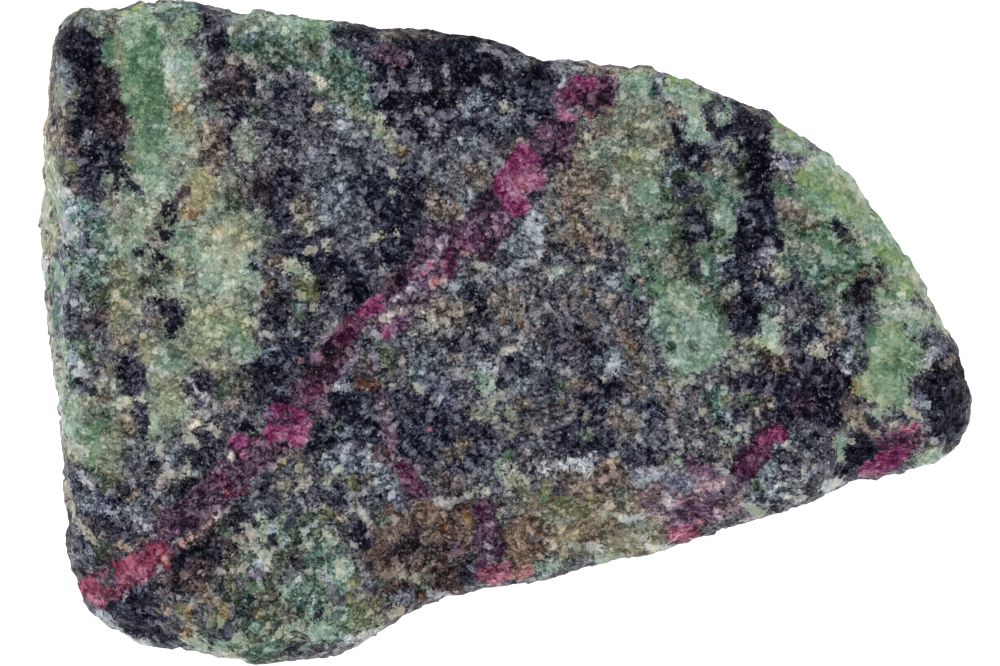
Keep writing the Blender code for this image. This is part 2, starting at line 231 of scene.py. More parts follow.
# mineral, half width of the stroke in map squares, the places it runs through
zones = {
    "ground colours": [
        ("greyGreen", 40, (150, 60), (160, 150), (150, 250), (150, 400), (100, 430)),
        ("pepper", 50, (290, 120), (300, 190)), ("teal", 26, (250, 35), (320, 45), (350, 90)),
        ("coal", 28, (380, 45), (440, 50), (520, 75)), ("ink", 30, (400, 100), (480, 110), (530, 100)),
        ("ink", 30, (400, 190), (410, 240)), ("pepper", 30, (450, 150), (470, 180)),
        ("ink", 24, (300, 255), (350, 290)), ("greyGreen", 40, (225, 240), (215, 330)),
        ("greyGreen", 34, (620, 110), (640, 150), (600, 170)), ("taupe", 26, (575, 155), (590, 210)),
        ("greyGreen", 28, (635, 200), (620, 220)), ("pepper", 36, (570, 250), (590, 290)),
        ("moss", 34, (690, 200), (700, 260), (720, 310)), ("green", 46, (840, 190), (880, 260)),
        ("moss", 34, (790, 250), (850, 270)), ("ink", 24, (750, 110), (750, 240), (745, 320)),
        ("mint", 26, (680, 310), (690, 350)), ("ink", 30, (580, 360), (600, 410)),
        ("pepper", 26, (550, 320), (560, 370)), ("pepper", 22, (810, 320), (790, 350)),
        ("pepper", 40, (640, 430), (690, 430)), ("violet", 36, (790, 390), (830, 390)),
        ("slate", 26, (790, 460), (760, 480)), ("ink", 34, (290, 370), (340, 410), (460, 440)),
        ("slate", 20, (350, 455), (385, 470)), ("pepper", 34, (440, 330), (480, 380)),
        ("moss", 50, (290, 560), (250, 620)), ("teal", 22, (330, 560), (330, 620)),
        ("ink", 30, (140, 610), (110, 520)), ("dusk", 26, (190, 570), (215, 540)),
        ("pepper", 30, (150, 480), (180, 460)), ("umber", 26, (390, 535), (460, 535)),
        ("brown", 22, (400, 520), (480, 520)), ("umber", 26, (400, 570), (440, 580)),
        ("brown", 24, (520, 545), (550, 520)), ("greyGreen", 26, (570, 530), (620, 520)),
        ("taupe", 22, (590, 490), (640, 490)), ("mauve", 22, (650, 505), (720, 495)),
        ("sand", 20, (570, 540), (650, 535)), ("coal", 24, (945, 370), (950, 410)),
    ],
    "upper left corner": [
        ("coal", 18, (76, 42), (88, 62), (96, 80)), ("coal", 13, (68, 42)), ("coal", 13, (91, 46)),
        ("dusk", 12, (106, 78), (112, 92)), ("coal", 17, (94, 110), (92, 125)),
        ("dusk", 17, (115, 115), (114, 138)), ("coal", 7, (73, 128), (74, 146)),
        ("ink", 16, (100, 155), (97, 172)), ("coal", 9, (119, 152), (122, 168)),
        ("slate", 7, (90, 138)), ("cream", 3, (94, 136)), ("slate", 8, (62, 72), (64, 95)),
        ("green", 5, (60, 93)), ("greyGreen", 6, (62, 104)), ("olive", 6, (78, 91)),
        ("taupe", 8, (66, 112)), ("moss", 5, (68, 15), (88, 11)), ("pepper", 7, (80, 20)),
        ("frost", 4, (87, 27)), ("greyGreen", 9, (97, 22), (104, 30)), ("moss", 6, (110, 63)),
        ("deep", 9, (111, 42), (112, 55)), ("tan", 4, (55, 30), (50, 60), (47, 100), (46, 130)),
        ("brown", 7, (60, 118), (66, 142)), ("blush", 4, (56, 108)), ("pale", 7, (46, 150), (46, 170)),
        ("umber", 5, (66, 152), (78, 150)),
    ],
    "left rim": [
        ("cream", 4, (47, 66), (45, 100), (44, 128)), ("brown", 2, (50, 70), (50, 96)),
        ("blush", 4, (54, 106), (56, 112)), ("taupe", 6, (56, 78), (56, 100)),
        ("slate", 5, (64, 70), (64, 84)), ("greyGreen", 5, (61, 90), (63, 104)),
        ("umber", 4, (56, 118)), ("taupe", 6, (63, 112), (64, 122)), ("cream", 6, (43, 134), (44, 158)),
        ("sand", 6, (52, 132), (53, 148)), ("brown", 6, (61, 130), (65, 146)), ("blush", 3, (70, 149)),
        ("pale", 10, (50, 164), (52, 182), (52, 198)), ("moss", 5, (63, 160), (64, 168)),
        ("olive", 6, (71, 164), (74, 174)), ("umber", 4, (72, 183), (79, 188)), ("white", 5, (67, 194)),
        ("cream", 6, (42, 200), (43, 226)), ("citron", 5, (53, 206), (52, 226)),
        ("mint", 5, (59, 204), (60, 222)), ("ice", 8, (70, 212), (75, 228)), ("teal", 5, (72, 219)),
        ("straw", 7, (42, 238), (44, 250)), ("pale", 7, (54, 236), (55, 248)),
        ("white", 6, (42, 262), (44, 274)), ("coal", 3, (56, 258)), ("mint", 6, (54, 268), (52, 278)),
        ("slate", 9, (68, 244), (66, 262)), ("teal", 9, (86, 244), (88, 254)),
        ("teal", 7, (75, 268), (72, 276)), ("teal", 8, (53, 290)), ("taupe", 5, (41, 286), (43, 294)),
        ("ice", 6, (64, 282), (64, 292)), ("cream", 5, (46, 306)), ("teal", 5, (56, 306), (57, 320)),
        ("slate", 7, (65, 306), (67, 322)), ("cream", 5, (48, 319), (50, 330)),
        ("coal", 3.5, (73, 315)),
    ],
    "green band": [
        ("vivid", 20, (140, 30), (145, 60), (142, 95)),
        ("straw", 5, (112, 12), (116, 28), (120, 45), (121, 70)), ("mint", 9, (128, 22), (145, 14)),
        ("pale", 5, (124, 20)), ("green", 12, (135, 38), (150, 30)), ("deep", 8, (155, 38), (164, 50)),
        ("moss", 4, (169, 30)), ("vivid", 14, (150, 62)), ("green", 7, (134, 86)),
        ("deep", 9, (158, 82), (162, 105)), ("deep", 12, (158, 112)), ("vivid", 9, (141, 112)),
        ("mint", 3, (164, 98)), ("mint", 6, (160, 126), (168, 128)),
        ("vivid", 12, (145, 138), (158, 142)), ("deep", 6, (157, 133)),
        ("green", 14, (148, 160), (160, 180)), ("olive", 5, (132, 158)),
        ("teal", 12, (170, 14), (190, 14)), ("moss", 4, (189, 15)), ("mint", 4, (155, 8), (172, 5)),
        ("lime", 5, (122, 12), (134, 7), (143, 3)), ("green", 9, (180, 32), (193, 26)),
        ("mint", 8, (180, 38)), ("mint", 15, (180, 60), (188, 80)),
        ("pale", 6, (169, 52), (169, 78), (174, 92)), ("white", 3, (169, 58), (170, 78)),
        ("ice", 4, (180, 68)), ("blush", 5, (198, 76), (203, 80)), ("straw", 4, (207, 53)),
        ("olive", 4, (203, 63)), ("tan", 4, (198, 67)), ("green", 7, (190, 90), (196, 86)),
        ("moss", 4, (192, 46)), ("rust", 6, (178, 106), (186, 110)), ("straw", 7, (192, 103)),
        ("straw", 9, (183, 121), (190, 132)), ("mint", 9, (178, 142), (183, 154)),
        ("greyGreen", 9, (197, 120), (192, 160)),
    ],
    "black streak": [
        ("coal", 6, (203, 8), (208, 22)), ("coal", 5, (206, 30)), ("ink", 9, (218, 30), (222, 45)),
        ("coal", 8, (216, 42), (224, 50)), ("dusk", 11, (222, 62), (232, 74)), ("frost", 3, (213, 17)),
        ("frost", 3, (205, 37)), ("slate", 5, (229, 22)), ("taupe", 8, (237, 60)),
        ("greyGreen", 12, (240, 28), (262, 25)), ("moss", 13, (262, 46), (280, 58)),
        ("greyGreen", 8, (280, 25)), ("slate", 6, (250, 38)), ("cream", 4, (243, 58), (256, 66)),
        ("slate", 9, (266, 80)), ("dusk", 12, (222, 90), (244, 85)), ("coal", 5, (251, 80), (252, 95)),
        ("ink", 12, (280, 96)), ("moss", 8, (212, 106)), ("ink", 9, (240, 114)),
        ("moss", 6, (258, 112)), ("taupe", 14, (212, 135), (216, 155)), ("dusk", 8, (225, 138)),
        ("greyGreen", 11, (245, 130), (250, 152)), ("straw", 5, (243, 160)), ("ink", 12, (282, 140)),
    ],
    "top middle": [
        ("mint", 6, (293, 24), (296, 38)), ("vivid", 8, (312, 25), (318, 38)),
        ("moss", 10, (306, 46), (318, 54)), ("greyGreen", 5, (305, 58)), ("frost", 5, (326, 50)),
        ("ink", 12, (345, 40), (368, 44)), ("slate", 7, (358, 57)), ("ice", 3, (350, 52)),
        ("moss", 8, (338, 66)), ("moss", 9, (335, 95), (355, 100)), ("teal", 7, (350, 76), (344, 90)),
        ("moss", 8, (366, 84)), ("slate", 8, (303, 82)), ("cream", 6, (318, 83)),
        ("deep", 4, (318, 94)), ("ink", 12, (306, 108)), ("cream", 5, (318, 108)),
        ("slate", 10, (340, 113)), ("greyGreen", 8, (362, 112), (374, 120)),
        ("greyGreen", 6, (386, 136), (392, 150)), ("teal", 5, (372, 105)), ("moss", 4, (369, 117)),
        ("pale", 6, (380, 122), (378, 135)), ("taupe", 6, (383, 36), (396, 34)),
        ("ink", 36, (440, 80), (500, 85)), ("ink", 20, (390, 85), (400, 108)),
        ("umber", 7, (405, 35), (428, 37)), ("coal", 9, (412, 44), (428, 45)),
        ("coal", 10, (480, 62), (490, 66)), ("dusk", 12, (438, 85), (452, 95)),
        ("coal", 11, (518, 76), (545, 75)), ("coal", 8, (505, 90)), ("coal", 8, (405, 95), (412, 102)),
        ("coal", 7, (440, 108), (462, 112)), ("slate", 8, (478, 98), (485, 108)),
        ("slate", 9, (505, 72), (512, 82)), ("slate", 5, (508, 66), (525, 62)), ("tan", 4, (517, 54)),
        ("olive", 4, (532, 63)), ("coal", 6, (540, 66)), ("slate", 10, (455, 150), (472, 145)),
        ("gold", 6, (401, 153)), ("cream", 4, (404, 147)), ("coal", 3, (403, 139)),
        ("blush", 4, (436, 38)), ("tan", 6, (521, 142), (515, 156)), ("frost", 8, (315, 155)),
        ("slate", 10, (352, 130)),
    ],
    "dark top": [
        ("coal", 12, (400, 66), (455, 62)), ("coal", 9, (440, 82), (470, 78)),
        ("coal", 10, (500, 70), (548, 84)), ("ink", 9, (384, 78), (380, 62)),
        ("coal", 8, (478, 70), (500, 96)), ("coal", 8, (395, 104), (384, 92)),
        ("coal", 7, (430, 96), (452, 104)), ("ink", 9, (520, 95), (515, 115)),
        ("ink", 9, (480, 120), (455, 124)), ("coal", 6, (415, 128), (425, 140)),
        ("ink", 8, (440, 140), (450, 130)), ("slate", 6, (462, 100), (470, 112)),
        ("frost", 5, (440, 116), (452, 114)), ("slate", 6, (500, 130), (508, 122)),
        ("coal", 6, (346, 28), (372, 33)), ("coal", 6, (440, 44), (470, 50)),
        ("umber", 6, (394, 33), (420, 36)),
    ],
    "flakes": [
        ("flake", 2.5, (410, 54), (424, 65)), ("flake", 3, (418, 69), (421, 73)),
        ("flake", 3, (413, 80), (421, 90)), ("flake", 2.5, (426, 83), (428, 89)),
        ("flake", 3, (446, 69), (450, 80)), ("flake", 3.5, (451, 88)),
        ("flake", 4, (464, 85), (466, 92)), ("flake", 4, (479, 51), (485, 48)),
        ("flake", 3.5, (494, 53), (505, 57)), ("flake", 4, (486, 78), (493, 88)),
        ("cream", 3, (418, 112), (420, 115)), ("flake", 3.5, (433, 105)),
        ("flake", 4, (429, 119), (433, 124)), ("flake", 3.5, (459, 104), (466, 106)),
        ("cream", 4, (502, 108), (509, 111)), ("flake", 4, (494, 118), (497, 124)),
        ("flake", 2.5, (518, 104), (518, 116)), ("flake", 4, (528, 119), (532, 125)),
        ("flake", 3.5, (378, 88), (386, 97)), ("flake", 3, (389, 82), (399, 88)),
        ("flake", 2.5, (409, 88), (412, 83)), ("flake", 4, (394, 118), (400, 122)),
        ("flake", 3.5, (405, 138), (413, 135)), ("flake", 3.5, (481, 138), (491, 156)),
        ("flake", 3, (428, 152), (432, 162)), ("flake", 4, (366, 68), (371, 72)),
        ("flake", 3.5, (327, 45), (324, 56)),
    ],
    "left middle": [
        ("pale", 8, (47, 180), (46, 225)), ("straw", 5, (52, 210), (53, 240)),
        ("cream", 5, (42, 190), (41, 250)), ("mint", 7, (60, 180)), ("white", 5, (66, 196)),
        ("olive", 7, (72, 173)), ("umber", 5, (78, 180)), ("brown", 5, (77, 190)),
        ("ink", 11, (92, 180), (95, 195)), ("slate", 14, (72, 215), (74, 248)),
        ("teal", 9, (88, 206), (94, 224)), ("ice", 5, (64, 222), (76, 232)),
        ("slate", 10, (98, 215), (98, 235)), ("moss", 5, (102, 244)),
        ("greyGreen", 18, (118, 212), (145, 208)), ("greyGreen", 8, (112, 182)),
        ("mint", 8, (130, 193)), ("coal", 4, (121, 172), (119, 189)),
        ("coal", 4, (129, 182), (142, 190)), ("pale", 9, (158, 190)),
        ("mint", 10, (143, 216), (140, 238)), ("brown", 4, (117, 206), (127, 213)),
        ("greyGreen", 3, (123, 209)), ("green", 10, (114, 234)), ("ice", 5, (118, 243)),
        ("green", 9, (128, 251)), ("coal", 6, (173, 207), (170, 220)), ("moss", 6, (162, 227)),
        ("coal", 5, (158, 226), (170, 236)), ("dusk", 5, (178, 198), (187, 189)),
        ("taupe", 7, (160, 241)), ("tan", 4, (147, 236)), ("coal", 3, (150, 244)),
        ("greyGreen", 7, (151, 253)), ("coal", 6, (160, 254), (166, 261)), ("coal", 5, (141, 254)),
        ("coal", 3, (150, 263), (162, 271)), ("green", 6, (172, 252)), ("moss", 6, (171, 270)),
        ("tan", 7, (190, 204)), ("rust", 6, (188, 213), (196, 216)), ("rust", 4, (184, 218)),
        ("green", 10, (182, 236)), ("mint", 7, (191, 241)), ("vivid", 7, (193, 258)),
        ("mint", 6, (178, 252)), ("white", 2.5, (185, 262)), ("olive", 7, (182, 275)),
        ("umber", 3, (196, 270)),
    ],
    "pale field": [
        ("straw", 15, (203, 183), (208, 203)), ("greyGreen", 12, (228, 178), (222, 212)),
        ("moss", 8, (232, 192), (236, 206)), ("taupe", 8, (215, 172)), ("tan", 6, (247, 195)),
        ("greyGreen", 9, (246, 214)), ("pale", 20, (216, 240), (234, 262)),
        ("gold", 4, (217, 230), (228, 233)), ("straw", 10, (238, 232), (246, 242)),
        ("moss", 5, (207, 243)), ("mint", 14, (214, 270), (226, 286)), ("mint", 8, (201, 252)),
        ("cream", 6, (240, 256), (236, 247)), ("pale", 12, (240, 274)), ("greyGreen", 8, (246, 290)),
        ("dusk", 10, (262, 180), (266, 200)), ("ink", 15, (285, 183), (285, 215)),
        ("greyGreen", 7, (258, 214), (257, 238)), ("moss", 7, (270, 232)), ("ink", 12, (286, 245)),
        ("taupe", 9, (277, 262)), ("cream", 5, (285, 269)), ("slate", 6, (256, 263)),
        ("coal", 4, (252, 268)), ("taupe", 8, (270, 286)), ("coal", 3, (262, 281)),
        ("ice", 4, (256, 290)), ("coal", 9, (274, 304), (283, 318)), ("pepper", 6, (268, 320)),
        ("citron", 13, (203, 318), (222, 324)), ("green", 8, (233, 329)), ("greyGreen", 9, (210, 302)),
        ("moss", 5, (207, 293)), ("brown", 5, (238, 303)), ("coal", 3, (251, 313)),
        ("greyGreen", 8, (248, 323)), ("pale", 14, (232, 248), (246, 280)),
        ("straw", 9, (226, 222), (240, 228)), ("pale", 9, (212, 232), (204, 244)),
        ("pale", 8, (226, 296), (238, 300)), ("moss", 3, (228, 262)),
        ("teal", 4, (250, 272), (246, 282)), ("mint", 7, (216, 288), (206, 280)),
        ("greyGreen", 8, (206, 218), (214, 224)), ("moss", 3, (238, 286)),
        ("citron", 9, (232, 316), (244, 322)), ("straw", 6, (212, 312), (222, 310)),
    ],
    "left lower field": [
        ("slate", 11, (60, 268), (62, 292)), ("teal", 8, (48, 285)), ("mint", 5, (54, 262), (66, 288)),
        ("moss", 8, (78, 262), (90, 270)), ("moss", 8, (85, 285), (95, 290)),
        ("greyGreen", 7, (106, 278)), ("moss", 7, (100, 265), (112, 260)), ("moss", 10, (110, 291)),
        ("straw", 7, (125, 275), (128, 285)), ("olive", 7, (118, 264)),
        ("cream", 5, (128, 303), (132, 306)), ("gold", 5, (121, 304), (116, 309)),
        ("moss", 8, (145, 286), (158, 280)), ("dusk", 4, (150, 284)), ("moss", 6, (165, 280)),
        ("greyGreen", 9, (184, 286)), ("cream", 5, (172, 292)), ("coal", 11, (166, 308), (178, 316)),
        ("coal", 9, (172, 328)), ("pepper", 9, (152, 308)), ("pepper", 8, (70, 305), (68, 320)),
        ("slate", 8, (59, 310)), ("ice", 4, (78, 302)), ("coal", 4, (76, 315)),
        ("greyGreen", 6, (93, 307)), ("dusk", 8, (85, 326), (105, 318)), ("greyGreen", 10, (130, 320)),
        ("straw", 8, (116, 318)), ("pepper", 7, (143, 328)), ("taupe", 8, (155, 322)),
        ("teal", 9, (74, 232), (82, 250)), ("slate", 7, (88, 238), (84, 262)),
        ("teal", 9, (100, 226), (104, 252)), ("teal", 8, (98, 262), (112, 254)),
        ("moss", 7, (90, 296), (104, 300)), ("greyGreen", 7, (136, 272), (146, 268)),
        ("straw", 7, (112, 296), (120, 288)), ("ice", 3, (66, 236), (70, 246)),
        ("ice", 3, (92, 250), (96, 256)), ("teal", 9, (84, 264), (98, 280)), ("slate", 6, (80, 290)),
        ("mint", 4, (70, 262), (76, 274)), ("ice", 3, (84, 262), (80, 270)),
    ],
    "middle": [
        ("ink", 13, (360, 188), (376, 198)), ("slate", 14, (337, 192), (330, 215)),
        ("taupe", 10, (300, 205), (310, 226)), ("cream", 5, (312, 226)),
        ("cream", 4, (309, 251), (318, 249)), ("cream", 3.5, (327, 243), (329, 251)),
        ("flake", 3, (357, 247), (365, 240)), ("cream", 3.5, (373, 240), (381, 234)),
        ("cream", 3.5, (394, 238), (398, 236)), ("cream", 5, (392, 170), (395, 180)),
        ("cream", 3, (393, 193)), ("ink", 19, (407, 213), (395, 250)),
        ("coal", 8, (418, 195), (412, 208)), ("coal", 9, (372, 260)),
        ("coal", 8, (334, 268), (346, 272)), ("ink", 8, (350, 280), (344, 262)),
        ("coal", 10, (357, 286), (362, 294)), ("pepper", 9, (335, 286)),
        ("pale", 8, (292, 268), (302, 271)), ("citron", 6, (312, 278)),
        ("olive", 10, (304, 284), (311, 295)), ("rust", 5, (298, 295)), ("cream", 4.5, (315, 308)),
        ("teal", 6, (298, 306)), ("moss", 7, (300, 317)), ("ink", 10, (312, 328)),
        ("taupe", 9, (434, 198), (440, 216)), ("coal", 5, (441, 189)),
        ("tan", 7, (456, 208), (454, 220)), ("taupe", 11, (478, 174), (485, 182)),
        ("flake", 5, (440, 174)), ("pepper", 9, (459, 185)), ("slate", 8, (465, 199)),
        ("slate", 20, (526, 224), (520, 256)), ("ice", 5, (530, 222), (538, 240)),
        ("ice", 4, (522, 262), (535, 262)), ("cream", 5, (479, 265), (485, 268)),
        ("pepper", 10, (500, 262)), ("taupe", 12, (498, 297), (513, 308)), ("rust", 4, (514, 287)),
        ("rust", 4, (502, 321)), ("rust", 4, (518, 320), (525, 326)),
        ("taupe", 11, (440, 305), (458, 316)), ("cream", 6, (428, 314), (433, 322)),
        ("coal", 7, (482, 308), (470, 318)), ("taupe", 7, (465, 306)), ("ice", 4, (457, 287)),
        ("ink", 9, (471, 292)),
    ],
    "upper right": [
        ("pepper", 8, (558, 70)), ("taupe", 6, (588, 69), (612, 72)), ("frost", 8, (560, 86)),
        ("coal", 6, (543, 78)), ("citron", 4, (630, 71), (650, 72)), ("leaf", 5, (672, 78), (690, 82)),
        ("lime", 6, (669, 85)), ("coal", 3, (656, 74)), ("coal", 3, (655, 86)),
        ("ice", 4, (659, 80), (661, 89)), ("green", 10, (640, 82), (628, 80)), ("teal", 7, (650, 94)),
        ("deep", 5, (632, 91)), ("green", 12, (690, 100), (676, 92)),
        ("mint", 9, (689, 112), (697, 124)), ("green", 8, (706, 97)),
        ("greyGreen", 10, (655, 110), (650, 125)), ("tan", 4, (640, 115)),
        ("tan", 5, (667, 108), (674, 116)), ("taupe", 4, (681, 113)), ("tan", 3, (632, 125)),
        ("brown", 8, (608, 113)), ("taupe", 12, (598, 128)), ("brown", 6, (612, 135)),
        ("olive", 6, (630, 128)), ("moss", 6, (630, 140)), ("citron", 9, (634, 158), (624, 162)),
        ("greyGreen", 12, (592, 155), (605, 160)), ("sand", 10, (660, 140)), ("mint", 6, (645, 155)),
        ("white", 2, (643, 152)), ("moss", 4, (603, 160)), ("tan", 5, (617, 162)),
        ("tan", 9, (568, 190), (590, 182)), ("tan", 6, (593, 190)), ("sand", 11, (618, 192)),
        ("green", 10, (648, 185), (645, 198)), ("straw", 5, (660, 170)), ("ink", 9, (681, 190)),
        ("pepper", 7, (692, 186)), ("slate", 6, (668, 182)), ("coal", 6, (675, 133), (678, 145)),
        ("mint", 8, (690, 133), (702, 132)), ("coal", 8, (690, 152), (700, 158)),
        ("coal", 7, (695, 165), (703, 170)), ("coal", 4, (706, 158)), ("flake", 2, (693, 159)),
        ("coal", 5, (667, 153)), ("slate", 6, (672, 163)), ("tan", 5, (707, 168), (711, 174)),
        ("coal", 5, (714, 101), (708, 108)),
        ("coal", 5, (706, 116), (711, 128), (720, 134), (728, 130)), ("mint", 6, (722, 118)),
        ("green", 5, (728, 106)), ("slate", 8, (711, 146)), ("greyGreen", 7, (730, 146)),
        ("coal", 14, (750, 120), (758, 140), (755, 155)), ("coal", 10, (765, 140), (773, 138)),
        ("slate", 4, (760, 140), (769, 137)), ("taupe", 3, (744, 104), (764, 116)),
        ("coal", 10, (756, 170), (758, 200)), ("moss", 7, (740, 160), (738, 172)),
        ("teal", 8, (727, 172)), ("moss", 12, (712, 190), (735, 188)), ("greyGreen", 4, (737, 194)),
        ("coal", 5, (745, 185)), ("leaf", 5, (775, 120), (790, 131)), ("taupe", 3, (783, 128)),
        ("greyGreen", 8, (718, 168), (731, 176)), ("teal", 10, (716, 186), (731, 199)),
        ("moss", 4, (708, 196)), ("green", 7, (722, 206), (727, 218)),
        ("teal", 5, (704, 176), (708, 186)), ("pale", 3, (727, 190)),
    ],
    "right middle": [
        ("taupe", 14, (560, 222), (575, 235)), ("slate", 7, (562, 222)),
        ("brown", 8, (590, 233), (598, 248)), ("tan", 4, (549, 212)),
        ("tan", 4, (585, 238), (597, 253)), ("dusk", 6, (592, 231), (590, 245)),
        ("slate", 8, (557, 258)), ("mint", 6, (555, 270)), ("greyGreen", 7, (586, 264)),
        ("moss", 5, (572, 272)), ("tan", 6, (584, 290)), ("gold", 4, (585, 292)),
        ("umber", 7, (567, 303)), ("umber", 8, (610, 228)), ("pepper", 12, (613, 252)),
        ("slate", 9, (613, 284)), ("ice", 4, (611, 281)), ("moss", 10, (632, 226)),
        ("deep", 8, (640, 232)), ("green", 9, (658, 232), (655, 246)), ("deep", 5, (670, 230)),
        ("greyGreen", 12, (655, 262), (662, 272)), ("tan", 4, (673, 262)),
        ("deep", 10, (660, 283), (655, 290)), ("mint", 8, (676, 288)), ("tan", 4, (642, 280)),
        ("mint", 5, (636, 266)), ("coal", 8, (688, 236), (695, 245)),
        ("ink", 11, (690, 218), (706, 232)), ("ink", 8, (706, 262), (712, 282)),
        ("ink", 5, (692, 255), (695, 270)), ("tan", 4, (682, 212)),
        ("mint", 10, (722, 218), (728, 228)), ("greyGreen", 8, (720, 245)), ("ice", 4, (731, 258)),
        ("coal", 13, (745, 234), (742, 252)), ("coal", 8, (757, 222), (763, 240)),
        ("frost", 4, (751, 227)), ("coal", 4, (775, 236), (780, 250)),
        ("frost", 7, (768, 245), (758, 258)), ("ice", 3, (772, 250)), ("slate", 8, (718, 268)),
        ("pepper", 9, (735, 285), (722, 285)), ("ink", 8, (744, 278)),
        ("coal", 8, (750, 303), (755, 322)), ("ink", 8, (744, 320)), ("dusk", 9, (728, 308)),
        ("cream", 4, (755, 272)), ("taupe", 6, (758, 285)), ("teal", 9, (766, 303)),
        ("slate", 8, (763, 292)), ("greyGreen", 9, (775, 272)), ("ink", 7, (784, 288)),
        ("moss", 4, (779, 303)), ("tan", 4, (705, 292)), ("mint", 17, (690, 308), (706, 330)),
        ("green", 13, (663, 316), (670, 330)), ("deep", 5, (703, 308)),
        ("green", 12, (720, 342), (700, 358)), ("mint", 11, (712, 350)), ("pale", 8, (694, 352)),
        ("citron", 6, (743, 342), (752, 340)), ("mint", 9, (770, 330), (768, 340)),
        ("cream", 5, (777, 317)), ("gold", 4, (741, 344)), ("tan", 4, (783, 338)),
        ("umber", 3, (783, 331)), ("moss", 4, (670, 313)), ("teal", 9, (655, 334)),
        ("moss", 7, (672, 345)), ("moss", 5, (722, 318), (720, 330)), ("ink", 20, (562, 330)),
        ("ink", 12, (550, 352)), ("dusk", 8, (558, 325)), ("coal", 6, (580, 330)),
        ("frost", 8, (577, 360)), ("slate", 11, (612, 358)), ("ice", 5, (612, 364)),
        ("ember", 4, (626, 333)), ("umber", 6, (625, 327)), ("pepper", 10, (600, 322)),
        ("taupe", 9, (630, 350), (640, 366)), ("taupe", 8, (610, 303)), ("ink", 8, (636, 303)),
        ("frost", 4, (634, 302)), ("greyGreen", 7, (745, 358), (730, 366)), ("brown", 7, (765, 352)),
        ("dusk", 9, (768, 362)), ("pale", 6, (672, 364)), ("moss", 8, (716, 238), (726, 252)),
        ("teal", 8, (704, 262), (712, 282)), ("deep", 5, (700, 248), (704, 256)),
        ("teal", 8, (632, 262), (648, 274)), ("green", 6, (640, 242), (632, 252)),
        ("teal", 7, (624, 284), (638, 292)), ("green", 6, (676, 286), (684, 298)),
        ("teal", 5, (664, 322), (667, 338)), ("teal", 6, (704, 300), (708, 314)),
        ("moss", 4, (690, 344), (695, 350)), ("teal", 4, (684, 316), (680, 326)),
        ("greyGreen", 7, (724, 296), (733, 288)), ("citron", 7, (744, 343), (768, 345)),
        ("pale", 5, (756, 338), (764, 343)), ("slate", 9, (602, 362), (618, 364)),
        ("ice", 5, (606, 372), (616, 360)), ("pepper", 10, (552, 312), (566, 320)),
        ("umber", 7, (540, 330), (548, 342)), ("dusk", 8, (572, 346), (582, 336)),
        ("pepper", 8, (556, 366), (572, 372)), ("taupe", 5, (586, 316), (592, 324)),
        ("blush", 3, (616, 318), (620, 312)), ("tan", 4, (622, 336), (630, 344)),
    ],
    "far right": [
        ("green", 12, (795, 147), (780, 140)), ("mint", 12, (812, 163), (833, 167)),
        ("frost", 6, (779, 163), (798, 163)), ("ice", 3, (778, 162), (784, 164)),
        ("ice", 3, (795, 162)), ("white", 3, (781, 169)), ("citron", 4, (780, 177)),
        ("pale", 8, (800, 178)), ("deep", 9, (781, 191)), ("vivid", 14, (813, 187)),
        ("leaf", 11, (826, 188), (838, 195)), ("leaf", 10, (845, 208), (862, 213)),
        ("mint", 8, (843, 182), (856, 196)), ("pale", 4, (830, 160), (850, 180), (865, 205)),
        ("tan", 8, (783, 210), (793, 214)), ("rust", 4, (795, 210), (798, 215)),
        ("cream", 4, (785, 202)), ("tan", 5, (803, 223), (822, 222)), ("tan", 5, (812, 231)),
        ("ice", 3, (808, 219)), ("vivid", 9, (822, 235)), ("vivid", 6, (815, 212)),
        ("coal", 9, (836, 227), (840, 233)), ("mint", 4, (833, 236)), ("cream", 4, (860, 241)),
        ("tan", 3, (852, 232)), ("green", 9, (868, 228)), ("mint", 7, (878, 238)),
        ("vivid", 9, (866, 248)), ("leaf", 8, (880, 250), (896, 262)), ("olive", 4, (873, 215)),
        ("mint", 5, (888, 238)), ("vivid", 12, (810, 243), (830, 250)), ("greyGreen", 11, (808, 260)),
        ("mint", 8, (825, 263)), ("deep", 10, (838, 268), (852, 262)), ("mint", 7, (866, 257)),
        ("mint", 9, (782, 255)), ("greyGreen", 11, (780, 272)), ("ink", 9, (801, 280), (812, 272)),
        ("teal", 8, (818, 282)), ("moss", 7, (829, 285)), ("vivid", 7, (841, 284)),
        ("coal", 8, (863, 281), (852, 292)), ("tan", 4, (857, 276), (863, 274)),
        ("dusk", 7, (874, 282)), ("brown", 4, (885, 286)), ("slate", 5, (886, 271)),
        ("green", 8, (897, 276)), ("leaf", 11, (905, 289)), ("vivid", 9, (882, 296)),
        ("mint", 6, (896, 270)), ("pale", 4, (905, 265), (918, 285), (930, 305)),
        ("ink", 8, (788, 288)), ("ink", 8, (807, 296)), ("cream", 4, (838, 288)),
        ("dusk", 8, (862, 298)), ("mint", 9, (768, 322), (771, 342)), ("ice", 4, (780, 308)),
        ("mint", 5, (790, 326)), ("tan", 4, (783, 338)), ("pale", 5, (777, 350)),
        ("coal", 7, (810, 312)), ("ink", 9, (809, 330)), ("coal", 5, (796, 338)),
        ("coal", 4, (818, 334)), ("coal", 3, (799, 312)), ("cream", 4, (800, 319)),
        ("sand", 9, (830, 322), (838, 333)), ("tan", 5, (833, 337)),
        ("cream", 6, (815, 347), (819, 354)), ("umber", 4, (828, 333)), ("greyGreen", 7, (835, 311)),
        ("deep", 4, (830, 304)), ("pepper", 9, (855, 320), (852, 330)), ("ice", 2, (858, 333)),
        ("coal", 4, (860, 318)), ("deep", 5, (870, 328), (869, 342)), ("moss", 6, (858, 350)),
        ("coal", 4, (844, 344)), ("taupe", 11, (778, 362)), ("dusk", 7, (765, 358)),
        ("umber", 5, (785, 358)), ("coal", 9, (779, 380)), ("taupe", 6, (765, 404)),
        ("violet", 20, (822, 362), (808, 395)), ("aubergine", 14, (797, 402)),
